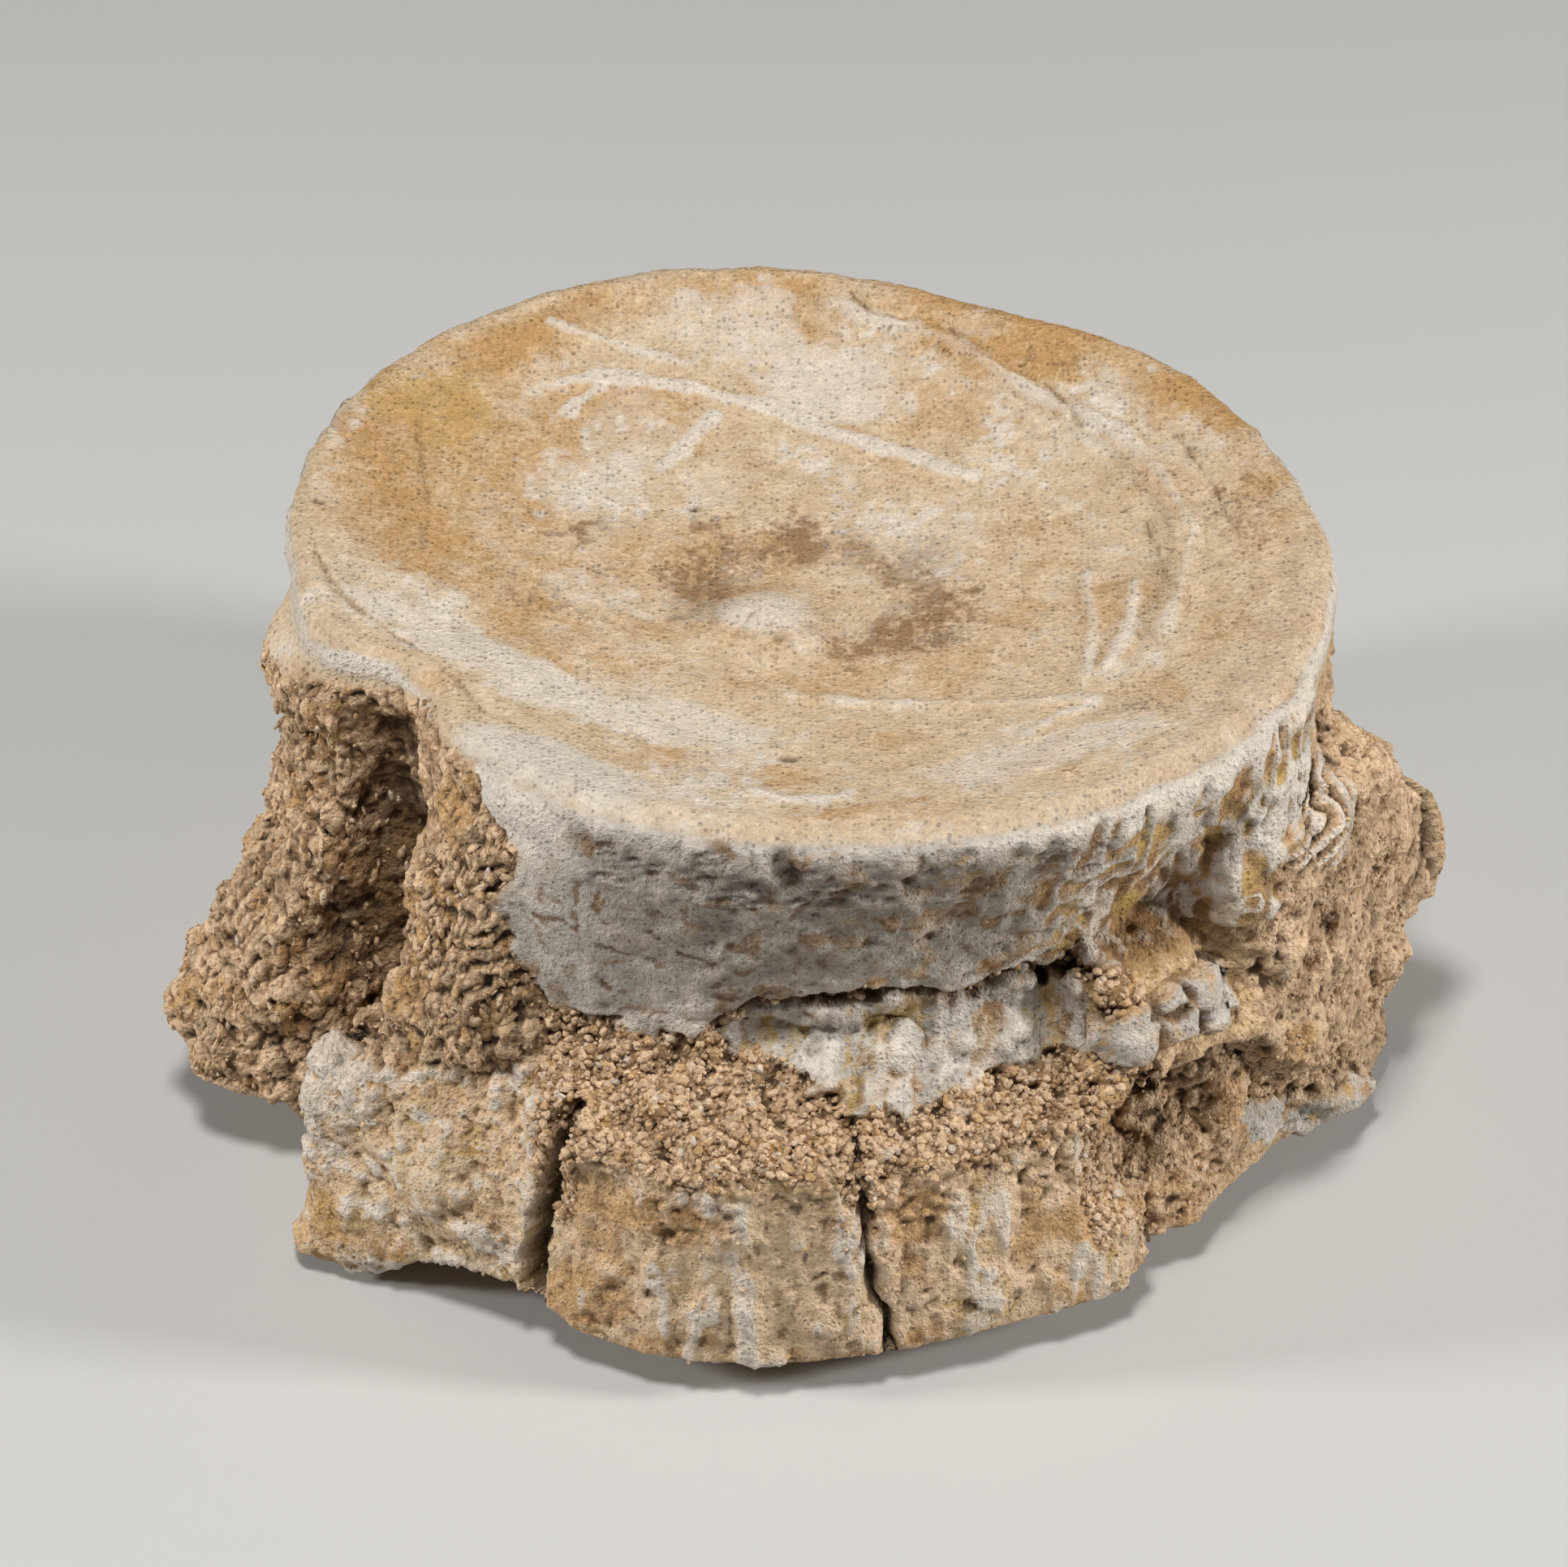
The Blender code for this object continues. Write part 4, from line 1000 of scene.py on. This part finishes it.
class Finish:
    """One material and its nodes."""

    def __init__(self, name):
        self.material = bpy.data.materials.new(name)
        self.material.use_nodes = True
        self.tree = self.material.node_tree
        self.tree.nodes.clear()
        self.place = self.add("ShaderNodeTexCoord", {}, {}, output="Object")

    def add(self, kind, settings, sockets, output=0):
        """A node of a kind with its settings, then the values or links of its sockets."""
        node = self.tree.nodes.new(kind)
        for name, value in settings.items():
            setattr(node, name, value)
        for name, value in sockets.items():
            if isinstance(value, Value):
                self.tree.links.new(value.socket, node.inputs[name])
            else:
                node.inputs[name].default_value = value
        return None if output is None else Value(self, node.outputs[output])

    def share_of(self, name):
        """A field that was kept on the skin."""
        return self.add("ShaderNodeAttribute", {"attribute_name": name}, {}, output="Fac")

    def noise(self, size, detail=4.0, rough=0.6, stretch=None):
        """Cloudy noise with lumps of a size in millimetres, spread to fill 0 to 1."""
        place = self.place
        if stretch:
            place = self.add("ShaderNodeMapping", {}, {"Vector": place, "Scale": stretch})
        sockets = {"Vector": place, "Scale": 1.0 / (size * MM), "Detail": detail, "Roughness": rough}
        cloudy = self.add("ShaderNodeTexNoise", {}, sockets)
        return ((cloudy - 0.5) * 2.2 + 0.5).clamped()

    def cells(self, size):
        """Cells of a size: how far each point is from its cell's middle, and a tone for each cell."""
        sockets = {"Vector": self.place, "Scale": 1.0 / (size * MM)}
        distance = self.add("ShaderNodeTexVoronoi", {}, sockets)
        colour = Value(self, distance.socket.node.outputs["Color"])
        return distance, self.add("ShaderNodeSeparateColor", {}, {"Color": colour})

    def painted(self, under, over, share):
        """One colour laid over another by a share."""
        return self.add("ShaderNodeMix", {"data_type": "RGBA"}, {0: share, 6: under, 7: over}, output=2)

    def shaded(self, colour, share):
        """A colour multiplied towards grey by a share, 1 leaving it as it is."""
        grey = self.add("ShaderNodeCombineColor", {}, {"Red": share, "Green": share, "Blue": share})
        settings = {"data_type": "RGBA", "blend_type": "MULTIPLY"}
        return self.add("ShaderNodeMix", settings, {0: 1.0, 6: colour, 7: grey}, output=2)


def opaque(colour):
    return (*colour, 1.0)


def patchy(share, noise, sharp=2.0):
    """A share broken into patches by noise, still nothing at 0 and whole at 1."""
    return ((share - (noise * 0.7 + 0.15)) * sharp + 0.5 - (0.5 - 0.15 * sharp) * (1.0 - share)).clamped()


def bone_finish(name):
    """Fossil bone. The skin's fields say where it is face, crust or broken, and where it is stained."""
    finish = Finish(name)
    broad = finish.noise(2.6, 4.0, 0.7)
    fine = finish.noise(0.55, 3.0, 0.7)
    other = finish.noise(1.7, 4.0, 0.75, stretch=(1.0, 1.0, 0.6))
    speckled = other * 0.45 + fine * 0.55
    crust, spongy = finish.share_of("crust"), finish.share_of("spongy")
    pore_cells = finish.cells(0.55)
    pore = ((0.42 - pore_cells[0]) * 5.0).clamped() * (pore_cells[1] * 2.0 - 0.8).clamped()
    grain_cells = finish.cells(0.62)

    colour = finish.painted(opaque(CREAM), opaque(PALE), broad * 0.7)
    colour = finish.painted(colour, opaque(GREY), crust)
    sand = finish.painted(opaque(SAND), opaque(PALE_SAND), grain_cells[1])
    colour = finish.painted(colour, sand, spongy)
    colour = finish.painted(colour, opaque(PALE_SAND), patchy(finish.share_of("pale"), fine) * 0.9)
    colour = finish.painted(colour, opaque(OCHRE), patchy(finish.share_of("ochre"), speckled, 1.5) * 0.95)
    colour = finish.painted(colour, opaque(BROWN), patchy(finish.share_of("brown"), speckled, 1.8) * 0.85)
    colour = finish.painted(colour, opaque(YELLOW), patchy(finish.share_of("yellow"), fine) * 0.9)
    colour = finish.painted(colour, opaque(PINK), patchy(finish.share_of("pink"), fine) * 0.6)
    colour = finish.painted(colour, opaque(WHITE), patchy(finish.share_of("white"), speckled, 1.6) * 0.85)
    colour = finish.painted(colour, opaque(SLATE), patchy(finish.share_of("smudge"), fine) * 0.7)
    # Dark brown of soil and of painted shade in hollows and under the bone
    colour = finish.painted(colour, opaque(DIRT_AND_SHADE), patchy(finish.share_of("dirt"), broad) * 0.7)
    # Painted shade over the middle of the wall under the lip
    colour = finish.painted(colour, opaque(DIRT_AND_SHADE), patchy(finish.share_of("grime"), other) * 0.3)
    # Painted shade: the darkest brown laid in cracks, pits, gaps and hollows
    colour = finish.painted(colour, opaque(SHADOW), finish.share_of("deep") * 0.85)
    # The pores are painted darker as painted shade; the rest is a random mottling of tone
    colour = finish.shaded(colour, (0.72 + fine * (0.2 + broad * 0.35)) * (1.0 - pore * 0.3))

    height = fine * 0.9 + broad * 0.3 - pore * 0.6 + spongy * (0.9 - grain_cells[0]) * 0.9
    normal = finish.add("ShaderNodeBump", {}, {"Strength": 1.0, "Distance": 0.32 * MM, "Height": height})
    shader = finish.add("ShaderNodeBsdfPrincipled", {}, {
        "Base Color": colour,
        "Roughness": 0.52 + spongy * 0.3 + broad * 0.16,
        "Specular IOR Level": 0.35,
        "Normal": normal,
    })
    finish.add("ShaderNodeOutputMaterial", {}, {"Surface": shader}, output=None)
    return finish.material


def floor_finish():
    finish = Finish("floor_paper")
    colour = finish.painted(opaque(FLOOR_PALE), opaque(FLOOR_DARK), finish.noise(400.0, 2.0) * 0.5)
    shader = finish.add("ShaderNodeBsdfPrincipled", {}, {"Base Color": colour, "Roughness": 0.8})
    finish.add("ShaderNodeOutputMaterial", {}, {"Surface": shader}, output=None)
    return finish.material


# The pieces

def owners_of_faces(skin, tree, owners):
    """The number of the node that each of the skin's faces lies on."""
    faces = skin.bone.data.polygons
    centres = np.empty(len(faces) * 3)
    faces.foreach_get("center", centres)
    nearest = [tree.find_nearest(centre)[2] for centre in centres.reshape(-1, 3)]
    return owners[nearest]


def keep_fields(skin):
    """Write the fields and the whole skin's normals on the mesh, so that the parted pieces keep them."""
    attributes = skin.bone.data.attributes
    for name in FIELDS:
        field = skin.marks.get(name, np.zeros_like(skin.z))
        attributes.new(name, "FLOAT", "POINT").data.foreach_set("value", field.astype(np.float32))
    attributes.new("whole_normal", "FLOAT_VECTOR", "POINT").data.foreach_set("vector", skin.normals.ravel())


def parted(skin, number_of_face):
    """Part the skin along the nodes' borders and return the pieces by node."""
    bone = skin.bone
    finishes = {slot: bone_finish(slot) for slot in sorted(set(SLOTS.values()))}
    for slot in SLOTS.values():
        bone.data.materials.append(finishes[slot])
    bone.data.polygons.foreach_set("material_index", number_of_face.astype(np.int32))
    owner = bone.data.attributes.new("owner", "INT", "FACE")
    owner.data.foreach_set("value", number_of_face.astype(np.int32))
    bone.data.polygons.foreach_set("use_smooth", np.ones(len(number_of_face), bool))
    deselect()
    bone.select_set(True)
    bpy.context.view_layer.objects.active = bone
    bpy.ops.object.mode_set(mode="EDIT")
    bpy.ops.mesh.select_all(action="SELECT")
    bpy.ops.mesh.separate(type="MATERIAL")
    bpy.ops.object.mode_set(mode="OBJECT")
    pieces = {}
    for piece in list(bpy.context.selected_objects):
        number = piece.data.attributes["owner"].data[0].value
        pieces[list(SLOTS)[number]] = piece
    return pieces


def close(piece, middle):
    """Close a piece of skin by walls that go straight in from its border, then to a point inside the bone."""
    deselect()
    piece.select_set(True)
    bpy.context.view_layer.objects.active = piece
    bpy.context.scene.cursor.location = middle
    bpy.ops.object.mode_set(mode="EDIT")
    bpy.ops.mesh.select_mode(type="EDGE")
    bpy.ops.mesh.select_all(action="DESELECT")
    bpy.ops.mesh.select_non_manifold(extend=False, use_wire=False, use_multi_face=False, use_verts=False)
    bpy.ops.mesh.extrude_edges_indiv()
    bpy.ops.object.mode_set(mode="OBJECT")
    normals = piece.data.attributes["whole_normal"].data
    for vertex in piece.data.vertices:
        if vertex.select:
            vertex.co -= normals[vertex.index].vector * WALL_DEPTH * MM
    bpy.ops.object.mode_set(mode="EDIT")
    bpy.ops.mesh.extrude_edges_indiv()
    bpy.ops.mesh.merge(type="CURSOR")
    bpy.ops.object.mode_set(mode="OBJECT")
    bpy.context.scene.cursor.location = (0.0, 0.0, 0.0)


def dress(piece, node):
    """Name a piece, give it the whole skin's normals and tell the frame what it stands for."""
    mesh = piece.data
    normals = np.empty(len(mesh.vertices) * 3, np.float32)
    mesh.attributes["whole_normal"].data.foreach_get("vector", normals)
    mesh.normals_split_custom_set_from_vertices(normals.reshape(-1, 3))
    mesh.attributes.remove(mesh.attributes["whole_normal"])
    mesh.attributes.remove(mesh.attributes["owner"])
    piece.name = node + "_skin"
    piece.parent = None
    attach(piece, "root")
    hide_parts(node)


# The photograph's view, the floor and the light

def set_view():
    camera = bpy.data.objects.new("photo_camera", bpy.data.cameras.new("photo_camera"))
    bpy.context.scene.collection.objects.link(camera)
    tilt = math.radians(VIEW_ELEVATION)
    ahead = Vector((0.0, math.cos(tilt), -math.sin(tilt)))
    camera.location = (Vector(VIEW_TARGET) - ahead * VIEW_DISTANCE) * MM
    camera.rotation_euler = ahead.to_track_quat("-Z", "Y").to_euler()
    camera.data.lens = LENS
    camera.data.sensor_width = 36.0
    camera.data.clip_start = 0.01
    camera.data.dof.use_dof = False
    bpy.context.scene.camera = camera
    bpy.context.scene.view_settings.view_transform = "Standard"


def add_floor():
    deselect()
    bpy.ops.mesh.primitive_plane_add(size=6.0)
    floor = bpy.context.view_layer.objects.active
    floor.name = "floor"
    floor.data.materials.append(floor_finish())


def add_light(name, place, size, power, tint):
    """A soft square lamp that faces the bone."""
    light = bpy.data.lights.new(name, "AREA")
    light.size = size
    light.energy = power
    light.color = tint
    lamp = bpy.data.objects.new(name, light)
    lamp.location = place
    lamp.rotation_euler = (Vector((0.0, 0.0, 0.03)) - Vector(place)).to_track_quat("-Z", "Y").to_euler()
    bpy.context.scene.collection.objects.link(lamp)


def set_light():
    for light in LIGHTS:
        add_light(*light)
    world = bpy.data.worlds.new("studio")
    world.use_nodes = True
    background = world.node_tree.nodes["Background"]
    background.inputs["Color"].default_value = (1.0, 1.0, 1.0, 1.0)
    background.inputs["Strength"].default_value = WORLD
    bpy.context.scene.world = world


def main():
    deselect()
    bone, owners = joined_bone()
    mesh = bone.data
    corners = [vertex.co.copy() for vertex in mesh.vertices]
    tree = BVHTree.FromPolygons(corners, [list(face.vertices) for face in mesh.polygons])
    skin = Skin(remeshed(bone))
    number_of_face = owners_of_faces(skin, tree, owners)
    find_regions(skin)
    sculpt_crust(skin)
    sculpt_flutes(skin)
    sculpt_broken(skin)
    sculpt_ledge(skin)
    sculpt_rim(skin)
    sculpt_face(skin)
    tint_face(skin)
    tint_flank(skin)
    skin.points[:, 2] = np.clip(skin.points[:, 2], 0.0, LENGTH + 0.6)
    skin.measure()
    weather(skin)
    keep_fields(skin)
    pieces = parted(skin, number_of_face)
    for node, piece in pieces.items():
        close(piece, HEART)
        dress(piece, node)
    strew_all(skin, pieces["left_pedicle_stub"].data.materials[0])
    set_view()
    add_floor()
    set_light()


main()
